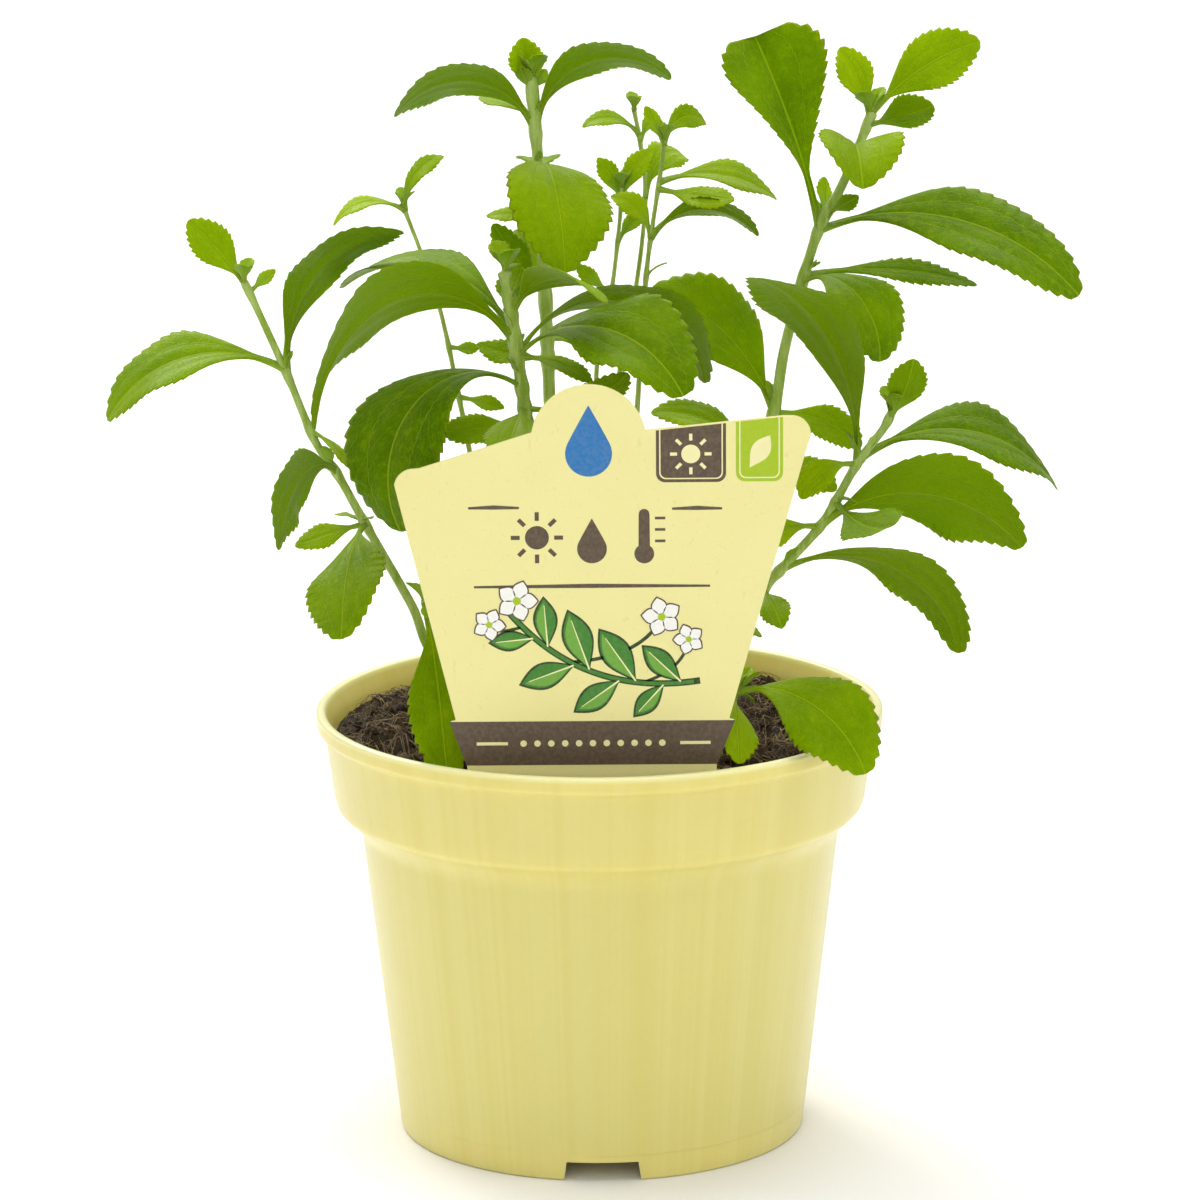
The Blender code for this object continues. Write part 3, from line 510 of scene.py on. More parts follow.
def make_fibres(count):
    """Peat fibres: thin three-sided threads that curve over the bed."""
    steps, sides = 7, 3
    along = np.linspace(-0.5, 0.5, steps)
    length = random.gamma(3.0, 2.0, count)[:, None] + 2
    heading = 2 * np.pi * random.random((count, 1))
    bend = random.normal(0, 0.45, (count, 1))
    turn = heading + bend * along
    dx, dy = np.cos(turn) * length / steps, np.sin(turn) * length / steps
    start = scatter(count, SOIL_RIM - 3.0)
    x = start[:, :1] + np.cumsum(dx, 1)
    y = start[:, 1:2] + np.cumsum(dy, 1)
    reach = np.minimum(1, (SOIL_RIM - 1.0) / np.hypot(x, y))
    x, y = x * reach, beside_card(x * reach, y * reach, 0.9)
    arch = random.random((count, 1)) * 1.7 * (1 - 4 * along ** 2)
    z = soil_height(x, y) + 0.15 + arch + random.normal(0, 0.5, (count, 1)) * along
    thick = (0.06 + 0.17 * random.random((count, 1)) ** 2) * (1 - 1.6 * along ** 2)
    angle = turn_steps(sides)
    out = thick[..., None] * np.cos(angle)
    side_x, side_y = -np.sin(turn)[..., None], np.cos(turn)[..., None]
    points = np.stack([x[..., None] + side_x * out, y[..., None] + side_y * out,
                       z[..., None] + thick[..., None] * np.sin(angle)], -1)
    block = ring_faces(steps, sides)
    faces = block[None] + (steps * sides * np.arange(count))[:, None, None]
    ends = np.array([[2, 1, 0], [steps * sides - 3, steps * sides - 2, steps * sides - 1]])
    caps = ends[None] + (steps * sides * np.arange(count))[:, None, None]
    return add_mesh("soil_fibres", points, faces, caps)

# %% Compost finishes
def compost():
    finish = Finish("compost", Specular_IOR_Level=0.25)
    place = finish.place()
    lumps = finish.noise(place, 190.0, 5.0, 0.65)
    threads = finish.noise(finish.stretch(place, (1.0, 0.22, 0.6)), 900.0, 3.0)
    dark, mid, pale = shade(24, 18, 12), shade(56, 43, 31), shade(104, 86, 66)
    colour = finish.ramp(lumps * 0.6 + threads * 0.4, [(0.3, dark), (0.52, mid), (0.72, pale)])
    finish.set(Base_Color=colour, Roughness=0.95 - lumps * 0.2,
               Normal=finish.bump(lumps + threads * 0.6, 0.8, 0.9))
    return finish.material


def loose_peat(name, dark, pale):
    """Crumbs and fibres: patches of two browns, streaked."""
    finish = Finish(name, Specular_IOR_Level=0.2)
    place = finish.place()
    patch = finish.noise(place, 120.0, 2.0)
    streak = finish.noise(place, 1500.0, 2.0)
    colour = finish.mix(finish.fade(patch * 0.7 + streak * 0.3, 0.3, 0.7), dark, pale)
    finish.set(Base_Color=colour, Roughness=0.8 + streak * 0.2)
    return finish.material


finish_piece(make_soil(), compost(), ["soil"])
finish_piece(make_crumbs(CRUMB_COUNT),
             loose_peat("peat_crumb", shade(30, 22, 16), shade(94, 76, 58)))
finish_piece(make_fibres(FIBRE_COUNT),
             loose_peat("peat_fibre", shade(72, 56, 40), shade(176, 154, 120)))

# %% [markdown]
# ## Leaves and stems
# Stevia carries its leaves in opposite pairs, each pair turned from the one below. A blade is
# narrow at the stalk, widest past the middle and toothed from there to its blunt tip, with three
# main veins. The list below is the solid model's own: each leaf's place on its stem, heading, rise,
# droop, length, width and roll, so every fine leaf lies where its solid is.

# %% Leaf list
class Leaf:
    """A leaf at a share of its stem: heading (0 right, 90 away), rise, droop, roll, sweep and fold
    in degrees, length and width in millimetres; a higher blunt moves the widest part out, and
    a lower taper fills out the part before it."""

    def __init__(self, at, heading, rise, droop, length, width, roll=0, sweep=0, fold=8,
                 blunt=1.45, taper=1.6):
        self.at, self.heading, self.rise, self.droop = at, heading, rise, droop
        self.length, self.width, self.roll, self.sweep = length, width, roll, sweep
        self.fold, self.blunt, self.taper = fold, blunt, taper


class Stem:
    """A leafy stem: foot and top radius, the points that its axis passes, and its leaves."""

    def __init__(self, name, foot, top, path, leaves):
        self.name, self.foot, self.top = name, foot, top
        self.path, self.leaves = path, leaves


STEMS = [
    Stem("stem_left", foot=1.4, top=0.9,
         path=[(-14, -6, 86), (-14, -6, 99), (-36.5, -7, 112.5), (-43, -7, 126), (-53, -7, 144.5),
               (-59.5, -6, 156.5), (-64.5, -5, 164), (-70.5, -4, 179), (-77.5, -3, 195),
               (-80, -3, 200.5)],
         leaves=[
             Leaf(0.99, heading=155, rise=52, droop=18, length=21, width=9, roll=-55, sweep=-5),
             Leaf(0.98, heading=20, rise=44, droop=12, length=8, width=3, roll=55),
             Leaf(0.83, heading=-20, rise=95, droop=90, length=51, width=20, roll=-20, sweep=-5),
             Leaf(0.84, heading=175, rise=29, droop=92, length=48, width=20, roll=-25),
             Leaf(0.55, heading=-170, rise=-9, droop=13, length=17, width=7, roll=-35),
             Leaf(0.55, heading=160, rise=34, droop=44, length=8, width=3),
             Leaf(0.55, heading=-105, rise=-7, droop=47, length=39, width=21, roll=30, sweep=15),
             Leaf(0.65, heading=-115, rise=35, droop=112, length=39, width=16, roll=90, sweep=5),
             Leaf(0.73, heading=-25, rise=-19, droop=40, length=14, width=5),
         ]),
    Stem("stem_thin_left", foot=0.9, top=0.5,
         path=[(-9, 16, 86), (-9, 16, 99), (-25, 20, 130), (-29.5, 22, 154), (-32, 23, 167.5),
               (-36, 24, 187.5), (-40.5, 24, 202), (-44.5, 24, 213)],
         leaves=[
             Leaf(0.99, heading=15, rise=95, droop=85, length=17, width=6, roll=25),
             Leaf(0.99, heading=-180, rise=36, droop=95, length=19, width=7, roll=-15),
             Leaf(0.65, heading=-10, rise=-7, droop=10, length=11, width=4, roll=45),
             Leaf(0.60, heading=-170, rise=17, droop=48, length=15, width=6, roll=-25),
             Leaf(0.74, heading=25, rise=-15, droop=-20, length=8, width=3, roll=65),
         ]),
    Stem("stem_centre_front", foot=1.9, top=1.5,
         path=[(-4, -20, 86), (-4, -20, 99), (-11.5, -20, 125), (-14, -20, 153), (-16.5, -20, 176),
               (-18, -20, 187.5), (-19.5, -20, 199), (-20.5, -20, 205.5)],
         leaves=[
             Leaf(0.84, heading=20, rise=61, droop=144, length=58, width=23, roll=-30, sweep=-20),
             Leaf(0.88, heading=150, rise=57, droop=97, length=52, width=24, roll=-5),
             Leaf(0.86, heading=-150, rise=60, droop=145, length=75, width=27, roll=50, sweep=15),
             Leaf(0.92, heading=-48, rise=60, droop=95, length=36, width=17, roll=-25),
             Leaf(0.84, heading=-30, rise=46, droop=103, length=52, width=26, roll=20, sweep=-10),
             Leaf(0.78, heading=-155, rise=38, droop=163, length=62, width=27, roll=-10, sweep=20),
             Leaf(0.84, heading=-20, rise=4, droop=40, length=19, width=7, roll=15),
             Leaf(0.74, heading=-25, rise=-2, droop=-48, length=29, width=11, roll=-40, sweep=-5),
             Leaf(0.74, heading=-100, rise=-5, droop=21, length=26, width=13),
             Leaf(0.71, heading=-170, rise=-2, droop=3, length=20, width=8, roll=-45),
             Leaf(0.92, heading=95, rise=82, droop=8, length=10, width=7, fold=18),
             Leaf(1.00, heading=40, rise=43, droop=54, length=5, width=2, sweep=5),
             Leaf(0.95, heading=-50, rise=59, droop=0, length=9, width=3, roll=-40),
         ]),
    Stem("stem_centre_tall", foot=1.9, top=1.4,
         path=[(-2, 9, 86), (-2, 9, 99), (-10, 12, 122), (-10.5, 13, 150.5), (-11, 14, 170.5),
               (-11.5, 14, 187), (-12.5, 14, 215.6), (-13.5, 14, 230), (-14.5, 14, 244.3)],
         leaves=[
             Leaf(0.92, heading=-155, rise=69, droop=118, length=43, width=16, roll=40),
             Leaf(0.92, heading=-15, rise=86, droop=127, length=43, width=16, roll=-35),
             Leaf(0.94, heading=140, rise=28, droop=36, length=18, width=7, roll=-10, sweep=-5),
             Leaf(0.86, heading=-82, rise=35, droop=124, length=46, width=25, roll=-12, sweep=5),
             Leaf(0.85, heading=92, rise=31, droop=67, length=24, width=10),
             Leaf(0.79, heading=160, rise=19, droop=33, length=14, width=5, roll=-30),
             Leaf(0.68, heading=160, rise=49, droop=-5, length=21, width=8, roll=-35, sweep=-5),
             Leaf(0.67, heading=115, rise=55, droop=24, length=22, width=9, roll=10),
             Leaf(0.97, heading=150, rise=79, droop=0, length=14, width=8, roll=-60, fold=16),
             Leaf(0.98, heading=-145, rise=54, droop=-14, length=7, width=4, roll=35),
             Leaf(0.98, heading=25, rise=57, droop=7, length=6, width=4, roll=35),
             Leaf(0.62, heading=20, rise=-3, droop=37, length=17, width=6, roll=30),
             Leaf(0.59, heading=160, rise=-3, droop=-22, length=18, width=7, roll=-35),
         ]),
    Stem("sprig_back_left", foot=0.9, top=0.5,
         path=[(4, 20, 86), (4, 20, 99), (-3, 22, 119.5), (-0.5, 24, 148), (0, 26, 175),
               (3.5, 28, 192), (5.5, 28, 208.5), (6, 28, 216.5)],
         leaves=[
             Leaf(0.97, heading=165, rise=76, droop=29, length=12, width=5, roll=-50),
             Leaf(0.97, heading=25, rise=77, droop=42, length=15, width=6, roll=35),
             Leaf(0.90, heading=35, rise=58, droop=40, length=10, width=4, roll=35),
             Leaf(0.81, heading=155, rise=27, droop=-17, length=11, width=4, roll=-40),
         ]),
    Stem("sprig_back_middle", foot=0.9, top=0.5,
         path=[(9, 28, 86), (9, 28, 99), (1.5, 30, 117.5), (4, 32, 146), (5, 34, 169.5),
               (9.5, 36, 193), (11.5, 36, 212), (10.5, 36, 224.5), (9, 36, 233)],
         leaves=[
             Leaf(0.96, heading=-180, rise=56, droop=96, length=15, width=6, roll=-25),
             Leaf(0.95, heading=25, rise=69, droop=20, length=8, width=3, roll=40),
             Leaf(1.00, heading=-90, rise=56, droop=35, length=6, width=2),
             Leaf(0.86, heading=55, rise=80, droop=119, length=23, width=9, roll=30, sweep=5),
         ]),
    Stem("sprig_back_right", foot=1.0, top=0.5,
         path=[(15, 18, 86), (15, 18, 99), (5, 18, 120.5), (8, 18, 149), (10, 17, 177.5),
               (11.5, 16, 198), (13, 16, 209.5), (15, 16, 222.5), (16, 16, 229.5)],
         leaves=[
             Leaf(0.99, heading=35, rise=82, droop=133, length=16, width=6, roll=50, sweep=5),
             Leaf(0.99, heading=155, rise=65, droop=8, length=10, width=4, roll=-40),
             Leaf(0.93, heading=15, rise=19, droop=60, length=30, width=12, roll=20),
             Leaf(0.92, heading=-30, rise=-6, droop=-6, length=20, width=8, roll=30),
             Leaf(0.84, heading=-15, rise=59, droop=111, length=30, width=11, roll=-35),
             Leaf(0.84, heading=155, rise=85, droop=85, length=15, width=6, roll=-35),
             Leaf(0.78, heading=-10, rise=53, droop=39, length=6, width=2),
         ]),
    Stem("stem_right_tall", foot=1.9, top=1.1,
         path=[(24, 6, 86), (24, 6, 99), (27, 6, 123.5), (35.5, 7, 151.5), (40.5, 8, 166.5),
               (43, 8, 181.5), (47, 8, 197), (51, 8, 210), (56, 8, 219.5), (60, 8, 229),
               (63, 8, 236.5)],
         leaves=[
             Leaf(0.81, heading=155, rise=79, droop=23, length=47, width=24, roll=-31, sweep=-21,
                  fold=29, blunt=3.8, taper=0.8),
             Leaf(0.81, heading=0, rise=23, droop=74, length=66, width=25, roll=30, sweep=-10),
             Leaf(0.93, heading=-90, rise=44, droop=103, length=28, width=19, roll=-5, sweep=5,
                  fold=32),
             Leaf(0.99, heading=145, rise=77, droop=28, length=18, width=8, roll=-45, fold=20),
             Leaf(1.00, heading=20, rise=47, droop=36, length=31, width=13, roll=65),
             Leaf(0.98, heading=-30, rise=16, droop=-6, length=18, width=9, roll=-65, fold=20),
             Leaf(0.83, heading=90, rise=68, droop=34, length=11, width=4, roll=35, sweep=-5),
             Leaf(0.84, heading=-45, rise=22, droop=-11, length=11, width=4, roll=-65),
             Leaf(0.74, heading=10, rise=9, droop=28, length=41, width=8, roll=30, sweep=-5),
             Leaf(0.73, heading=-45, rise=30, droop=125, length=35, width=19, roll=10),
             Leaf(0.53, heading=155, rise=71, droop=59, length=43, width=21, roll=-35),
             Leaf(0.53, heading=-20, rise=10, droop=56, length=23, width=9, roll=45),
             Leaf(0.45, heading=175, rise=61, droop=70, length=29, width=11, roll=-25),
             Leaf(0.45, heading=-25, rise=11, droop=47, length=21, width=8, roll=50),
         ]),
    Stem("stem_right_low", foot=1.5, top=1.0,
         path=[(24, -14, 86), (24, -14, 99), (31, -15, 117.5), (37, -16, 130), (42.5, -17, 137),
               (51, -18, 147), (58.5, -19, 160.5), (64.5, -20, 169), (66.5, -20, 173)],
         leaves=[
             Leaf(0.85, heading=-155, rise=95, droop=80, length=63, width=25, roll=5, sweep=30),
             Leaf(0.87, heading=20, rise=30, droop=87, length=56, width=21, roll=25, sweep=5),
             Leaf(0.68, heading=-15, rise=45, droop=96, length=53, width=25, roll=-60),
             Leaf(0.68, heading=-165, rise=12, droop=55, length=20, width=9, roll=-40),
             Leaf(0.98, heading=-45, rise=49, droop=-29, length=17, width=9, roll=-35),
             Leaf(0.98, heading=160, rise=95, droop=26, length=5, width=2),
             Leaf(0.54, heading=-5, rise=31, droop=114, length=54, width=21, roll=-35, sweep=15),
             Leaf(0.75, heading=-70, rise=-16, droop=-40, length=36, width=14, roll=25),
             Leaf(0.85, heading=-155, rise=17, droop=85, length=17, width=7, roll=-55),
             Leaf(0.48, heading=-75, rise=-5, droop=31, length=16, width=7, roll=20),
         ]),
    Stem("shoot_front_right", foot=1.2, top=0.9,
         path=[(27, -29, 86), (27, -29, 99), (29.5, -31, 108), (31.5, -31, 111)],
         leaves=[
             Leaf(0.98, heading=-35, rise=23, droop=88, length=42, width=20, roll=35, sweep=-5),
             Leaf(0.92, heading=-85, rise=-3, droop=54, length=22, width=11, roll=-30, sweep=-5),
             Leaf(0.98, heading=35, rise=-6, droop=60, length=6, width=2),
         ]),
    Stem("shoot_front_left", foot=1.2, top=0.8,
         path=[(-22, -24, 86), (-22, -24, 99), (-36, -26, 122), (-39.5, -28, 132)],
         leaves=[
             Leaf(0.98, heading=-75, rise=-50, droop=25, length=42, width=15),
             Leaf(0.98, heading=20, rise=48, droop=41, length=6, width=2),
         ]),
    Stem("shoot_back_left", foot=1.2, top=0.6,
         path=[(-14, 26, 86), (-14, 26, 99), (-15, 30, 112), (-16, 34, 128), (-15, 36, 142)],
         leaves=[
             Leaf(0.45, heading=40, rise=20, droop=60, length=30, width=13),
             Leaf(0.45, heading=-165, rise=20, droop=60, length=26, width=11),
             Leaf(0.70, heading=110, rise=35, droop=70, length=34, width=15),
             Leaf(0.72, heading=-70, rise=35, droop=50, length=16, width=7),
             Leaf(0.99, heading=150, rise=50, droop=50, length=18, width=8),
             Leaf(0.98, heading=30, rise=50, droop=50, length=18, width=8),
         ]),
    Stem("shoot_back_right", foot=1.2, top=0.6,
         path=[(17, 34, 86), (17, 34, 99), (18, 38, 110), (20, 41, 124), (20, 42, 136)],
         leaves=[
             Leaf(0.48, heading=110, rise=20, droop=60, length=24, width=12),
             Leaf(0.50, heading=-10, rise=20, droop=60, length=22, width=10),
             Leaf(0.75, heading=75, rise=30, droop=70, length=28, width=14),
             Leaf(0.99, heading=150, rise=55, droop=50, length=16, width=7),
             Leaf(0.98, heading=20, rise=50, droop=50, length=16, width=7),
         ]),
]
print(len(STEMS), "stems with", sum(len(stem.leaves) for stem in STEMS), "leaves")

# %% [markdown]
# A blade is worked out as a bent sheet. The rise falls evenly along the midrib, which gives the
# arch of a leaf under its own weight. The outline is a sine raised to a power that falls towards
# the tip, and the teeth are a saw wave added to it. Across, the sheet is folded a little at the
# midrib, puffed up between its veins and waved towards the margin. Top and underside are joined
# at the margin, so every leaf is a closed thin solid.

# %% Blade shape
STALK_HALF_WIDTH, STALK_LEAST, STALK_SLOPE = 1.15, 0.5, 0.014
TOOTHED_FROM, BLADE_END, TOOTH_PEAK = 0.36, 0.995, 0.72
TOOTH_STEPS = (0.0, 0.25, 0.5, TOOTH_PEAK, 0.88)
FEWEST_TEETH, MOST_TEETH = 4, 15
TOOTH_PITCH, TOOTH_PITCH_SLOPE = 0.75, 0.034                      # at no length, and more per mm
TOOTH_HEIGHT, TOOTH_HEIGHT_SLOPE, TOOTH_HIGHEST = 0.26, 0.011, 0.8
VEIN_AT = 0.47
ACROSS = np.array([-1, -0.93, -0.8, -0.66, -0.53, -0.47, -0.4, -0.26, -0.12, -0.04, 0,
                   0.04, 0.12, 0.26, 0.4, 0.47, 0.53, 0.66, 0.8, 0.93, 1])
BLADE_HALF_THICKNESS = 0.16


def stem_line(path):
    """Smooth axis through the path's points: straight in its hole, then a Catmull-Rom curve
    of 12 steps a span."""
    foot, points = np.array(path[:1], float), np.array(path[1:], float)
    ends = np.vstack([2 * points[0] - points[1], points, 2 * points[-1] - points[-2]])
    t = np.linspace(0, 1, 12, endpoint=False)[:, None]
    spans = []
    for p0, p1, p2, p3 in zip(ends, ends[1:], ends[2:], ends[3:]):
        spans.append(0.5 * (2 * p1 + (p2 - p0) * t + (2 * p0 - 5 * p1 + 4 * p2 - p3) * t ** 2
                            + (3 * p1 - p0 - 3 * p2 + p3) * t ** 3))
    return np.vstack([foot] + spans + [points[-1:]])


def along(line, share):
    """Points at shares of a line's length."""
    run = np.r_[0, np.cumsum(np.linalg.norm(np.diff(line, axis=0), axis=1))]
    return np.stack([np.interp(share, run / run[-1], line[:, k]) for k in range(3)], -1)


def leaf_frame(leaf, base, shares):
    """Midrib points, side and upper directions: the rise falls evenly by the droop."""
    fine = np.linspace(0, 1, 41)
    rise = np.radians(leaf.rise - leaf.droop * fine)
    turn = np.radians(leaf.heading + leaf.sweep * fine)
    ahead = np.stack([np.cos(rise) * np.cos(turn), np.cos(rise) * np.sin(turn), np.sin(rise)], 1)
    steps = (ahead[1:] + ahead[:-1]) / 2 * leaf.length / 40
    rib = base + np.vstack([np.zeros(3), np.cumsum(steps, 0)])
    level = np.stack([-np.sin(turn), np.cos(turn), 0 * turn], 1)
    upper = np.cross(ahead, level)
    roll = np.radians(leaf.roll)
    side = level * np.cos(roll) + upper * np.sin(roll)
    upper = upper * np.cos(roll) - level * np.sin(roll)
    return [np.stack([np.interp(shares, fine, part[:, k]) for k in range(3)], 1)
            for part in (rib, side, upper)]


def blade_rows(leaf):
    """Shares along the blade and the tooth wave there: rows close up at each tooth."""
    pitch = TOOTH_PITCH + TOOTH_PITCH_SLOPE * leaf.length
    teeth = int(np.clip(round(leaf.length * 0.64 / pitch), FEWEST_TEETH, MOST_TEETH))
    stalk = np.linspace(0, TOOTHED_FROM, 12, endpoint=False)
    phase = (np.arange(teeth)[:, None] + np.array(TOOTH_STEPS)).ravel() / teeth
    shares = np.r_[stalk, TOOTHED_FROM + (BLADE_END - TOOTHED_FROM) * phase, BLADE_END]
    step = np.tile(TOOTH_STEPS, teeth)
    saw = np.where(step <= TOOTH_PEAK, (step / TOOTH_PEAK) ** 0.8, (1 - step) / (1 - TOOTH_PEAK))
    rise = np.clip(phase * 5, 0.25, 1)
    return shares, np.r_[0 * stalk, saw * rise, 0]


def blade_points(leaf, base):
    """Closed rings of points along a blade, and where each lies on it. Half the width is half of
    the leaf's width times the sine of (pi times the share to the power blunt), raised to taper
    times (1 less 0.56 times the share); the teeth are added to it. The lift above the midrib's
    plane is the fold, less the puff between the veins, plus a ripple near the margin."""
    wave = random.uniform(0.05, 0.12), random.uniform(1.2, 2.6), random.uniform(0, 6.3)
    fold = np.tan(np.radians(leaf.fold + random.uniform(-2, 7)))
    shares, saw = blade_rows(leaf)
    rib, side, upper = leaf_frame(leaf, base, shares)
    shape = np.sin(np.pi * shares ** leaf.blunt) ** (leaf.taper * (1 - 0.56 * shares))
    stalk = min(STALK_HALF_WIDTH, STALK_LEAST + STALK_SLOPE * leaf.length)
    half = np.maximum(leaf.width / 2 * shape, stalk * (1 - shares) ** 0.3)
    tooth = min(TOOTH_HIGHEST, TOOTH_HEIGHT + TOOTH_HEIGHT_SLOPE * leaf.length)
    tooth = tooth * saw * np.clip(half / 2.5, 0.2, 1)
    half = (half + tooth - 0.25 * tooth.max())[:, None]
    v = ACROSS[None, :]
    puff = 0.022 * np.cos(2 * np.pi * np.abs(v) / VEIN_AT) * (np.abs(v) < 1.4 * VEIN_AT)
    ripple = wave[0] * np.sin(wave[1] * 2 * np.pi * shares[:, None] + wave[2] + np.pi * (v > 0))
    lift = half * (fold * np.abs(v) - puff - 0.12 * np.abs(v) ** 3)
    lift = lift + ripple * half * v ** 2 * np.clip(shares[:, None] * 2.5 - 0.4, 0, 1)
    sheet = rib[:, None] + side[:, None] * (half * v)[..., None] + upper[:, None] * lift[..., None]
    ahead = unit(np.gradient(rib, axis=0))
    sheet += ahead[:, None] * (0.55 * tooth[:, None] * np.abs(v) ** 5)[..., None]
    thick = BLADE_HALF_THICKNESS * (1 - 0.55 * np.abs(v) ** 4) + 0.5 * (1 - shares[:, None]) ** 6
    rim = np.where(np.abs(v) < 1, 1.0, 0.0) * thick
    over = sheet + upper[:, None] * rim[..., None]
    under = (sheet - upper[:, None] * rim[..., None])[:, -2:0:-1]
    rings = np.concatenate([over, under], 1)
    way = np.stack([0 * half + v, 0 * v + shares[:, None] * leaf.length, np.ones_like(lift)], -1)
    back = way[:, -2:0:-1] * [1, 1, 0]
    width = np.repeat(half, rings.shape[1], 1)
    return rings, np.concatenate([way, back], 1), width


def add_vectors(obj, name, values):
    """Store a vector for every vertex, for a material to read."""
    layer = obj.data.attributes.new(name, "FLOAT_VECTOR", "POINT")
    layer.data.foreach_set("vector", np.asarray(values, float).ravel())


def buds(stem):
    """Small folded leaves that the solids leave out: two crossed pairs at the tip of the stem,
    and a bud in the angle above each large leaf."""
    size = 3.5 + 3.5 * stem.top
    tip, heading = [], stem.leaves[0].heading
    for turn, rise, part in ((90, 58, 1.0), (270, 58, 1.0), (0, 72, 0.7), (180, 72, 0.7)):
        tip.append(Leaf(1.0, heading + turn + random.normal(0, 12), rise, 25, size * part,
                        size * part * 0.58, random.normal(0, 10), fold=22))
    for leaf in stem.leaves:
        if leaf.length > 30:
            length = random.uniform(4.0, 8.5)
            tip.append(Leaf(min(leaf.at + 0.008, 1), leaf.heading + random.normal(0, 20),
                            min(leaf.rise + 32, 80), 20, length, length * 0.42, random.normal(0, 25)))
    return tip


def make_blades(stem, line):
    """All the blades of a stem in one mesh, with their place on the blade and their tone."""
    points, ways, tones, quads, tris = [], [], [], [], []
    start = 0
    for leaf in stem.leaves + buds(stem):
        rings, way, width = blade_points(leaf, along(line, leaf.at))
        rows, ring = rings.shape[:2]
        centres = [rings[0].mean(0), rings[-1].mean(0)]
        points.append(np.vstack([rings.reshape(-1, 3), centres]))
        ends = [[0, 0, 1], [0, leaf.length, 1]]
        ways.append(np.vstack([way.reshape(-1, 3), ends]))
        youth = float(np.clip(1.25 - leaf.length / 45, 0, 1))
        tone = np.full((rows * ring + 2, 3), [random.random(), 0, youth])
        tone[:-2, 1] = width.ravel()
        tones.append(tone)
        quads.append(ring_faces(rows, ring, start))
        tris.append(end_fans(rows, ring, start, start + rows * ring, start + rows * ring + 1))
        start += rows * ring + 2
    obj = add_mesh(stem.name + "_leaves", np.vstack(points), np.vstack(quads), np.vstack(tris))
    add_vectors(obj, "on_blade", np.vstack(ways))
    add_vectors(obj, "leaf_tone", np.vstack(tones))
    return obj

# %% [markdown]
# Stems are rings of points carried along the same axis as in the solid. They swell a little where
# a pair of leaves sits, and faint ribs run up them. The white down that catches the light on a
# stevia stem is real geometry: thousands of tiny three-sided spikes.

# %% Stalks with down
STALK_SIDES, STALK_RINGS, RIBS = 14, 150, 7
STALK_SLIMMER, NODE_SWELL = 0.86, 0.3
HAIRS_PER_MM, HAIR_THICKNESS = 16.0, 0.03


def across(ahead):
    """Two directions across each given direction, the first one level with the picture."""
    side = unit(np.cross(ahead, [0.0, 1.0, 0.0]))
    return side, np.cross(side, ahead)


def stalk_radius(stem, share):
    """Radius along a stem: an even taper, with a swelling at each pair of leaves."""
    places = np.unique([leaf.at for leaf in stem.leaves])
    swell = np.exp(-((share[:, None] - places) * 70) ** 2).max(1)
    taper = stem.foot + (stem.top - stem.foot) * share
    return STALK_SLIMMER * taper * (1 + NODE_SWELL * swell)


def make_stalk(stem, line):
    """The stem as a closed ribbed tube."""
    share = np.linspace(0, 1, STALK_RINGS)
    centre = along(line, share)
    ahead = unit(np.gradient(centre, axis=0))
    side, front = across(ahead)
    angle = turn_steps(STALK_SIDES)
    ribs = 1 + 0.05 * np.cos(angle * RIBS)
    radius = stalk_radius(stem, share)[:, None] * ribs
    points = (centre[:, None] + side[:, None] * (radius * np.cos(angle))[..., None]
              + front[:, None] * (radius * np.sin(angle))[..., None])
    tip = centre[-1] + ahead[-1] * stem.top * 0.6
    return add_tube(stem.name + "_stalk", points, centre[0], tip)


def make_down(stem, line):
    """Fine hairs: closed three-sided spikes that stand out of the stalk."""
    length = np.linalg.norm(np.diff(line, axis=0), axis=1).sum()
    count = int(length * HAIRS_PER_MM)
    share = 0.08 + 0.92 * random.random(count)
    centre = along(line, share)
    axis = unit(along(line, np.minimum(share + 0.004, 1)) - along(line, share - 0.004))
    side, front = across(axis)
    turn = 2 * np.pi * random.random((count, 1))
    out = side * np.cos(turn) + front * np.sin(turn)
    over = np.cross(axis, out)
    radius = stalk_radius(stem, share)[:, None]
    foot = centre + out * (radius * 0.92)
    lean = out + axis * random.normal(0.2, 0.35, (count, 1)) + over * random.normal(0, 0.3, (count, 1))
    tip = foot + lean * radius.clip(0.5, 1.2) * (0.3 + 0.55 * random.random((count, 1)))
    base = [foot + (axis * np.cos(a) + over * np.sin(a)) * HAIR_THICKNESS for a in (0.0, 2.1, 4.2)]
    points = np.stack(base + [tip], 1)
    sides = np.array([(0, 1, 3), (1, 2, 3), (2, 0, 3), (2, 1, 0)])
    faces = sides[None] + 4 * np.arange(count)[:, None, None]
    return add_mesh(stem.name + "_down", points, [], faces)

# %% [markdown]
# ## Leaf finish
# Each vertex of a blade knows where it lies: across, along, and on which face. From that the
# material draws the midrib, the two long side veins, the slanting small veins and the net between
# them, paints young leaves lighter than old ones, and gives the underside a more even green. The
# veins also drive a bump, sunk on top as on the real leaf.

# %% Leaf and stem materials
LEAF_DEEP, LEAF_MID, LEAF_LIGHT = shade(76, 108, 0), shade(108, 141, 0), shade(156, 184, 4)
LEAF_UNDER, VEIN_PALE = shade(112, 142, 4), shade(150, 178, 18)
STALK_PALE = shade(146, 176, 66)


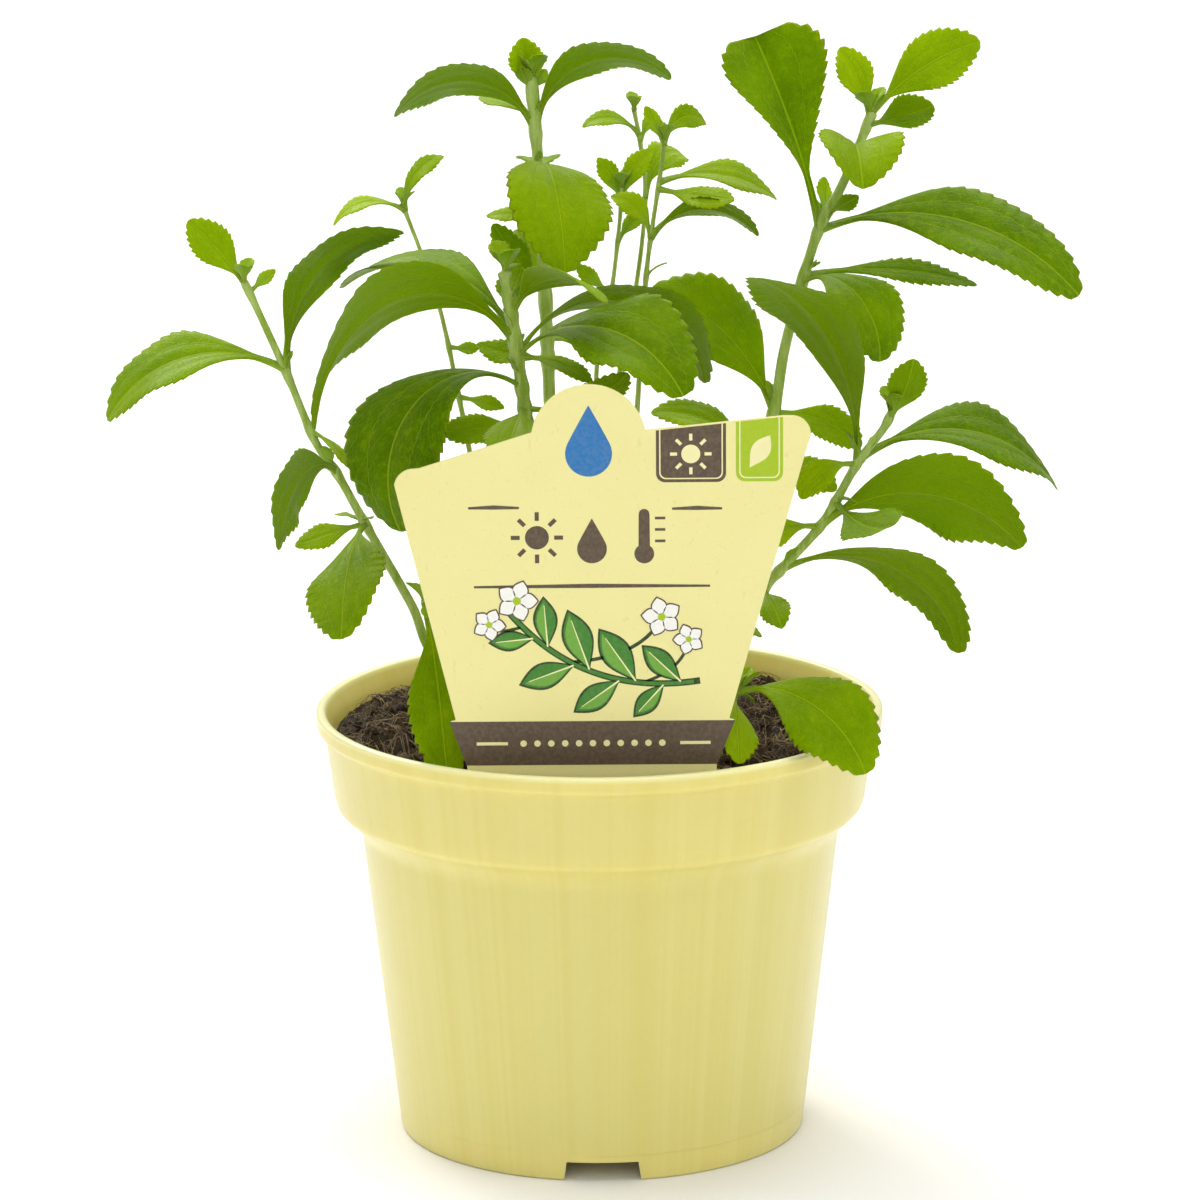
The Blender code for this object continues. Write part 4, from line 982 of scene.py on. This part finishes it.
def leaf_skin():
    finish = Finish("leaf_skin", Specular_IOR_Level=0.08, Specular_Tint=(1.0, 0.95, 0.2, 1.0),
                    Sheen_Weight=0.2, Sheen_Roughness=0.3, Sheen_Tint=(0.9, 1.0, 0.3, 1.0),
                    Subsurface_Weight=0.12, Subsurface_Scale=0.002)
    finish.shader.inputs["Subsurface Radius"].default_value = (0.6, 1.0, 0.05)
    place = finish.place()
    on_blade = finish.node("ShaderNodeAttribute", {"attribute_name": "on_blade"}, {}, "Vector")
    leaf_tone = finish.node("ShaderNodeAttribute", {"attribute_name": "leaf_tone"}, {}, "Vector")
    across, run, upper = finish.axes(on_blade)
    tone, half, youth = finish.axes(leaf_tone)
    side = abs(across)
    midrib = finish.fade(side * half, 0.36, 0.1)
    lateral = finish.fade(abs(side - VEIN_AT) * half, 0.2, 0.04) * finish.fade(half, 1.5, 4.0)
    slant = (run * 0.22 - side * half * 0.36 + tone).cycle()
    small = finish.fade(abs(slant - 0.5), 0.05, 0.01) * finish.fade(side * half, 0.2, 0.8)
    net = finish.fade(finish.cells(place, 820.0, "DISTANCE_TO_EDGE"), 0.08, 0.015)
    veins = midrib.most(lateral * 0.6).most(small * 0.32).most(net * 0.22)
    cloud = finish.noise(place, 75.0, 3.0)
    age = cloud * 0.55 + tone * 0.34 + youth * 0.42 - 0.14
    ground = finish.ramp(age, [(0.12, LEAF_DEEP), (0.42, LEAF_MID), (0.9, LEAF_LIGHT)])
    mottle = finish.noise(place, 620.0, 3.0)
    ground = finish.mix(finish.fade(mottle, 0.45, 0.8) * 0.25, ground, LEAF_LIGHT)
    top = finish.mix(veins * 0.7, ground, VEIN_PALE)
    back = finish.mix(veins * 0.6, LEAF_UNDER, VEIN_PALE)
    back = finish.mix(cloud * 0.5, back, LEAF_MID)
    rim = finish.fade(side, 0.93, 1.0) * 0.3
    colour = finish.mix(rim, finish.mix(upper, back, top), LEAF_LIGHT)
    colour = finish.mix(finish.fade(run, 8.0, 1.0) * 0.8, colour, STALK_PALE)
    height = (0.5 - upper) * 2.0 * veins + mottle * 0.25 + finish.noise(place, 2600.0, 1.0) * 0.1
    finish.set(Base_Color=colour, Roughness=0.36 + mottle * 0.14 - upper * 0.04,
               Normal=finish.bump(height, 0.3, 0.9))
    return finish.material


def stem_skin():
    finish = Finish("stem_skin", Specular_IOR_Level=0.3, Sheen_Weight=0.15, Sheen_Roughness=0.4,
                    Subsurface_Weight=0.12, Subsurface_Scale=0.002)
    place = finish.place()
    streak = finish.noise(finish.stretch(place, (1.0, 1.0, 0.12)), 900.0, 3.0)
    patch = finish.noise(place, 40.0, 2.0)
    green = finish.mix(finish.fade(streak, 0.3, 0.7), shade(140, 170, 50), shade(180, 202, 112))
    colour = finish.mix(finish.fade(patch, 0.5, 0.75) * 0.5, green, shade(112, 146, 14))
    finish.set(Base_Color=colour, Roughness=0.55 + streak * 0.15,
               Normal=finish.bump(streak, 0.15, 0.6))
    return finish.material


def down_skin():
    finish = Finish("down_skin", Specular_IOR_Level=0.3)
    silver = finish.noise(finish.place(), 300.0, 1.0)
    colour = finish.mix(silver, shade(206, 222, 160), shade(244, 248, 230))
    finish.set(Base_Color=colour, Roughness=0.5 + silver * 0.2)
    return finish.material


LEAF_SKIN, STEM_SKIN, DOWN_SKIN = leaf_skin(), stem_skin(), down_skin()
for stem in STEMS:
    axis_line = stem_line(stem.path)
    finish_piece(make_blades(stem, axis_line), LEAF_SKIN, [stem.name])
    finish_piece(make_stalk(stem, axis_line), STEM_SKIN)
    finish_piece(make_down(stem, axis_line), DOWN_SKIN)

# %% [markdown]
# ## The plant card
# The card is stiff printed board with rounded corners and a round bump, on a stake that goes down
# behind the rim. Its print is a set of very thin flat shapes laid on its face, one mesh for each
# ink at each level, so every edge stays crisp however near the camera comes. The print is a plain
# design: a foot band, two corner tabs, thin rules, signs, and a branch with small white flowers.

# %% Card outline
BAND_LOW, BAND_HIGH = 99.2, 109.3


def arc(centre, radius, start, end, count):
    """Points of a round stretch, from one angle to another in degrees."""
    angles = np.radians(np.linspace(start, end, count))
    return np.stack([centre[0] + radius * np.cos(angles), centre[1] + radius * np.sin(angles)], -1)


def card_outline():
    """Front outline of the card and its stake, anticlockwise, as (x, z) points."""
    low = [(-3.7, 62.0), (0.3, 62.0), (7.3, 70.0), (7.3, 84.0), (25.8, 90.0), (26.2, BAND_LOW),
           (30.2, BAND_HIGH), (29.0, BAND_HIGH + 0.3), (46.6, 172.5)]
    left = [(-32.1, BAND_HIGH + 0.3), (-33.3, BAND_HIGH), (-29.7, BAND_LOW), (-29.2, 90.0),
            (-10.7, 84.0), (-10.7, 70.0)]
    return np.vstack([low, arc((42.9, 174.4), 4.3, -5, 85, 9), [(41.2, 178.7)],
                      arc((-2.0, 173.2), 12.8, 11, 171, 41), [(-39.5, 167.3)],
                      arc((-40.8, 162.8), 4.4, 100, 170, 9), left])


def anticlockwise(outline):
    """An outline in the order that runs anticlockwise seen from the front."""
    x, z = outline[:, 0], outline[:, 1]
    area = np.sum(x * np.roll(z, -1) - np.roll(x, -1) * z)
    return outline if area > 0 else outline[::-1]


def add_plates(name, outlines, front, back):
    """Flat plates in the card's plane: each outline once at the front, once at the back, and
    a strip of quads between them."""
    points, faces = [], []
    start = 0
    for outline in map(anticlockwise, map(np.asarray, outlines)):
        count = len(outline)
        for depth in (front, back):
            points.append(np.stack([outline[:, 0], np.full(count, depth), outline[:, 1]], -1))
        here = np.arange(count)
        there = (here + 1) % count
        edge = np.stack([there, here, here + count, there + count], -1) + start
        faces += [tuple(here + start), tuple(here[::-1] + count + start)] + edge.tolist()
        start += 2 * count
    mesh = bpy.data.meshes.new(name)
    mesh.from_pydata((np.vstack(points) * MM).tolist(), [], faces)
    obj = bpy.data.objects.new(name, mesh)
    bpy.context.scene.collection.objects.link(obj)
    return obj


def make_card():
    """The board itself, with its edge very slightly rounded."""
    half = CARD_THICKNESS / 2
    card = add_plates("card_board", [card_outline()], CARD_PLANE - half, CARD_PLANE + half)
    edge = card.modifiers.new("edge", "BEVEL")
    edge.width, edge.segments, edge.limit_method = 0.18 * MM, 2, "ANGLE"
    return card

# %% Shapes for the print
def strip(points, width):
    """A stroke of even or tapering width along a line of points."""
    points = np.asarray(points, float)
    ahead = np.gradient(points, axis=0)
    side = unit(np.stack([-ahead[:, 1], ahead[:, 0]], -1))
    half = np.broadcast_to(np.asarray(width, float) / 2, len(points))[:, None]
    return np.vstack([points + side * half, (points - side * half)[::-1]])


def leaf_sign(base, angle, length, width, steps=15):
    """A plain pointed leaf seen flat: a sine outline along a straight midrib."""
    t = np.linspace(0, 1, steps)
    half = width / 2 * np.sin(np.pi * t ** 1.15)
    turn = np.radians(angle)
    ahead, side = np.array([np.cos(turn), np.sin(turn)]), np.array([-np.sin(turn), np.cos(turn)])
    spine = np.array(base) + np.outer(t * length, ahead)
    return np.vstack([spine + np.outer(half, side), (spine - np.outer(half, side))[-2:0:-1]])


def rectangle(low, high):
    return np.array([low, (high[0], low[1]), high, (low[0], high[1])], float)


def tab(left, right, low, radius):
    """A tab that hangs from the card's sloping top edge, its two lower corners rounded."""
    corners = [arc((left + radius, low + radius), radius, 180, 270, 8),
               arc((right - radius, low + radius), radius, 270, 360, 8)]
    tops = [(x, 175.3 + 0.101 * (x - 10.6)) for x in (left, right)]
    return np.vstack([tops[:1]] + corners + [tops[1:]])

# %% [markdown]
# Printing lays one flat ink over another. Each call below is one ink at one level: a thin plate
# 0.03 mm in front of the last, cut to its shapes. The leaves get a dark keyline, a mid green, a
# lighter half and a midrib, which is how a simple colour drawing is separated for print.

# %% Inks and print
BROWN, CREAM, WHITE = shade(92, 76, 62), shade(248, 242, 180), shade(252, 251, 244)
TAB_GREEN, SKY_BLUE = shade(170, 200, 20), shade(44, 120, 186)
KEY_GREEN, LEAF_INK, LIGHT_INK = shade(36, 66, 24), shade(62, 132, 42), shade(112, 172, 60)
INK_STEP = 0.03


def board_skin():
    finish = Finish("card_board", Specular_IOR_Level=0.35)
    place = finish.place()
    fleck = finish.fade(finish.noise(place, 1300.0, 2.0), 0.64, 0.76)
    fibre = finish.fade(finish.noise(finish.stretch(place, (1.0, 1.0, 0.5)), 700.0, 2.0), 0.66, 0.76)
    cloud = finish.noise(place, 60.0, 2.0)
    colour = finish.mix(cloud, shade(247, 240, 168), shade(244, 235, 158))
    colour = finish.mix(fleck.most(fibre) * 0.22, colour, shade(214, 196, 122))
    finish.set(Base_Color=colour, Roughness=0.48 + fleck * 0.1, Normal=finish.bump(cloud, 0.05, 0.4))
    return finish.material


def ink_skin(name, colour):
    finish = Finish(name, Specular_IOR_Level=0.35)
    grain = finish.noise(finish.place(), 1300.0, 2.0)
    thin = tuple(0.95 * c + 0.05 * p for c, p in zip(colour, CREAM))
    finish.set(Base_Color=finish.mix(finish.fade(grain, 0.3, 0.8), colour, thin),
               Roughness=0.42 + grain * 0.12)
    return finish.material


def print_ink(name, level, material, shapes):
    """One ink: thin plates over the card's face, sunk a little into the card behind them."""
    face = CARD_PLANE - CARD_THICKNESS / 2
    plates = add_plates("print_" + name, shapes, face - INK_STEP * level, face + 0.05)
    return finish_piece(plates, material)


finish_piece(make_card(), board_skin(), ["label"])
ink = {name: ink_skin("ink_" + name, colour) for name, colour in dict(
    brown=BROWN, cream=CREAM, white=WHITE, tab=TAB_GREEN, blue=SKY_BLUE,
    key=KEY_GREEN, leaf=LEAF_INK, light=LIGHT_INK).items()}


def rule(start, end, height, width, bow=0.0):
    """A thin level rule whose middle may bow up a little."""
    return strip([(start, height), ((start + end) / 2, height + bow), (end, height)], width)


def sun(centre, size):
    """A disc and eight short rays."""
    rays = [strip([np.array(centre) + size * reach * np.array([np.cos(a), np.sin(a)])
                   for reach in (0.66, 0.83, 1.0)], size * 0.16) for a in np.arange(8) * np.pi / 4]
    return [arc(centre, size * 0.46, 0, 345, 24)] + rays


def drop(centre, size):
    """A water drop: a round foot and two sides that meet in a point."""
    foot = arc(centre, size, -205, 25, 26)
    top = np.array(centre) + [0, size * 2.1]
    right = curve(foot[-1], np.array(centre) + [size * 0.62, size * 1.0], top, 8)[1:]
    left = curve(top, np.array(centre) + [-size * 0.62, size * 1.0], foot[0], 8)[1:-1]
    return np.vstack([foot, right, left])


band = [(-29.8, BAND_LOW), (26.3, BAND_LOW), (30.3, BAND_HIGH), (-33.5, BAND_HIGH)]
brown_tab, green_tab = tab(12.9, 28.4, 163.8, 2.0), tab(30.6, 41.0, 163.9, 2.0)
dots = [arc((x, 104.2), 0.75, 0, 330, 12) for x in np.arange(-17.0, 15.0, 3.1)]
band_rules = [rule(-27.5, -20.5, 104.2, 0.7), rule(18.0, 24.8, 104.2, 0.7)]
rules = [rule(a, b, z, [0.5, 0.95, 0.5], 0.15)
         for a, b, z in ((-28.8, -17.5, 158.2), (16.4, 27.5, 157.8), (-27.7, 24.8, 140.2))]
print_ink("brown", 1, ink["brown"], [band, brown_tab] + rules)
print_ink("tab", 1, ink["tab"], [green_tab])
print_ink("blue", 1, ink["blue"], [drop((-2.0, 170.4), 5.2)])
print_ink("edge", 2, ink["cream"], [tab(13.6, 27.7, 164.5, 1.5), tab(31.3, 40.3, 164.6, 1.5)])
print_ink("tab_inside_brown", 3, ink["brown"], [tab(13.9, 27.4, 164.8, 1.3)])
print_ink("tab_inside_green", 3, ink["tab"], [tab(31.6, 40.0, 164.9, 1.3)])
print_ink("cream", 4, ink["cream"], dots + band_rules + sun((20.6, 170.2), 4.6)
          + [leaf_sign((33.6, 167.0), 58, 8.6, 4.2)])

# %% [markdown]
# The picture is a branch that climbs to the left in one long curve. Pairs of leaves sit along it,
# with small white flowers between them. Three plain signs for light, water and warmth stand
# above it, as on many plant cards.

# %% The printed branch
branch = curve((22.5, 118.5), (-4.0, 114.5), (-20.5, 135.0), 40)
leaf_places = [(0.10, 1, 12.5), (0.16, -1, 10.5), (0.30, 1, 15.0), (0.38, -1, 13.0),
               (0.52, 1, 15.0), (0.60, -1, 13.5), (0.76, 1, 12.0), (0.83, -1, 10.5)]
key, fill, half_tone, ribs, petals, petal_keys, hearts = [strip(branch, 1.5)], [], [], [], [], [], []
fill.append(strip(branch[1:-1], 0.8))
for share, side, size in leaf_places:
    index = int(share * 39)
    ahead = branch[index + 1] - branch[index]
    angle = np.degrees(np.arctan2(ahead[1], ahead[0])) - side * 48
    turn = np.array([np.cos(np.radians(angle)), np.sin(np.radians(angle))])
    key.append(leaf_sign(branch[index], angle, size, size * 0.46))
    fill.append(leaf_sign(branch[index] + turn * 0.5, angle, size - 1.2, size * 0.46 - 1.0))
    blade = leaf_sign(branch[index] + turn * 0.8, angle, size - 2.2, size * 0.46 - 1.6)
    half_tone.append(blade[:15])
    ribs.append(strip([branch[index] + turn * d for d in np.linspace(0.4, size * 0.82, 5)],
                      np.linspace(0.4, 0.15, 5)))
for x, z, size in ((-18.2, 137.0, 4.6), (-24.4, 131.6, 3.6), (14.0, 133.2, 4.4), (20.0, 128.0, 3.4)):
    for k in range(5):
        angle = 90 + 72 * k + x
        petal_keys.append(leaf_sign((x, z), angle, size + 0.35, size * 0.72 + 0.5, 12))
        petals.append(leaf_sign((x, z), angle, size, size * 0.72, 12))
    hearts.append(arc((x, z), size * 0.2, 0, 345, 16))
twigs = [strip(curve(branch[24], (10.0, 124.0), (14.0, 133.2)), 0.8),
         strip(curve(branch[10], (19.0, 121.0), (20.0, 128.0)), 0.7),
         strip(curve(branch[35], (-23.5, 129.0), (-24.4, 131.6)), 0.7)]
print_ink("key", 1, ink["key"], key + twigs)
print_ink("leaf", 2, ink["leaf"], fill)
print_ink("light", 3, ink["light"], half_tone)
print_ink("rib", 4, ink["cream"], ribs)
print_ink("petal_key", 4, ink["brown"], petal_keys)
print_ink("petal", 5, ink["white"], petals)
print_ink("heart", 6, ink["tab"], hearts)
warmth = [np.vstack([arc((10.2, 147.6), 2.2, -235, 55, 24), arc((10.2, 156.6), 1.2, 0, 180, 8)])]
ticks = [rectangle((12.6, z), (14.9, z + 0.6)) for z in (150.2, 152.8, 155.4)]
print_ink("signs", 1, ink["brown"], sun((-13.6, 151.4), 5.8) + [drop((-1.4, 148.8), 3.3)]
          + warmth + ticks)

# %% [markdown]
# ## Floor, light and view
# A white floor and big soft lights, as in a small product studio. The front and overhead lights
# give most of the brightness, and the fill on the right is weaker. A narrow strip on the left and a
# small light above it shape the pot and the upper leaves. One light behind the plant gives the
# leaves their bright edges, and the last one only brightens the floor behind the plant.

# %% Studio
def add_floor():
    """A wide pale floor just under the pot."""
    half = 4000.0
    corners = [(-half, -half, -0.05), (half, -half, -0.05), (half, half, -0.05), (-half, half, -0.05)]
    floor = add_mesh("floor", corners, [(0, 1, 2, 3)], smooth=False)
    finish = Finish("floor_white", Roughness=0.9, Specular_IOR_Level=0.1)
    finish.set(Base_Color=shade(250, 250, 250))
    floor.data.materials.append(finish.material)


def add_light(name, place, aim, size, power, colour=(1, 1, 1)):
    """A square soft light that faces the aim point."""
    light = bpy.data.lights.new(name, "AREA")
    light.shape, light.size, light.size_y = "RECTANGLE", size[0], size[1]
    light.energy, light.color = power, colour
    lamp = bpy.data.objects.new(name, light)
    bpy.context.scene.collection.objects.link(lamp)
    lamp.location = place
    lamp.rotation_euler = (Vector(aim) - Vector(place)).to_track_quat("-Z", "Y").to_euler()


add_floor()
LIGHTS = [("front", (-0.1, -1.9, 1.0), (0, 0, 0.10), (1.6, 1.2), 10, (1.0, 0.99, 0.96)),
          ("overhead", (0.1, -0.15, 1.7), (0, 0, 0.1), (1.2, 1.2), 13),
          ("strip", (-0.8, 0.05, 0.42), (0, 0, 0.10), (0.06, 0.8), 0.3),
          ("top", (-0.9, 0.25, 1.25), (0, 0, 0.16), (0.6, 0.6), 2, (1.0, 0.98, 0.92)),
          ("sheen", (-0.7, 1.2, 1.3), (0, 0, 0.18), (0.9, 0.6), 12, (1.0, 0.99, 0.94)),
          ("fill", (1.5, -0.6, 0.9), (0, 0, 0.12), (1.2, 1.2), 4.5),
          ("backdrop", (0.0, 2.6, 2.2), (0, 2.0, 0), (3.5, 2.5), 60)]
for light in LIGHTS:
    add_light(*light)

world = bpy.data.worlds.new("studio")
world.use_nodes = True
world.node_tree.nodes["Background"].inputs["Color"].default_value = (1, 1, 1, 1)
world.node_tree.nodes["Background"].inputs["Strength"].default_value = 0.31
bpy.context.scene.world = world
bpy.context.scene.view_settings.view_transform = "Standard"
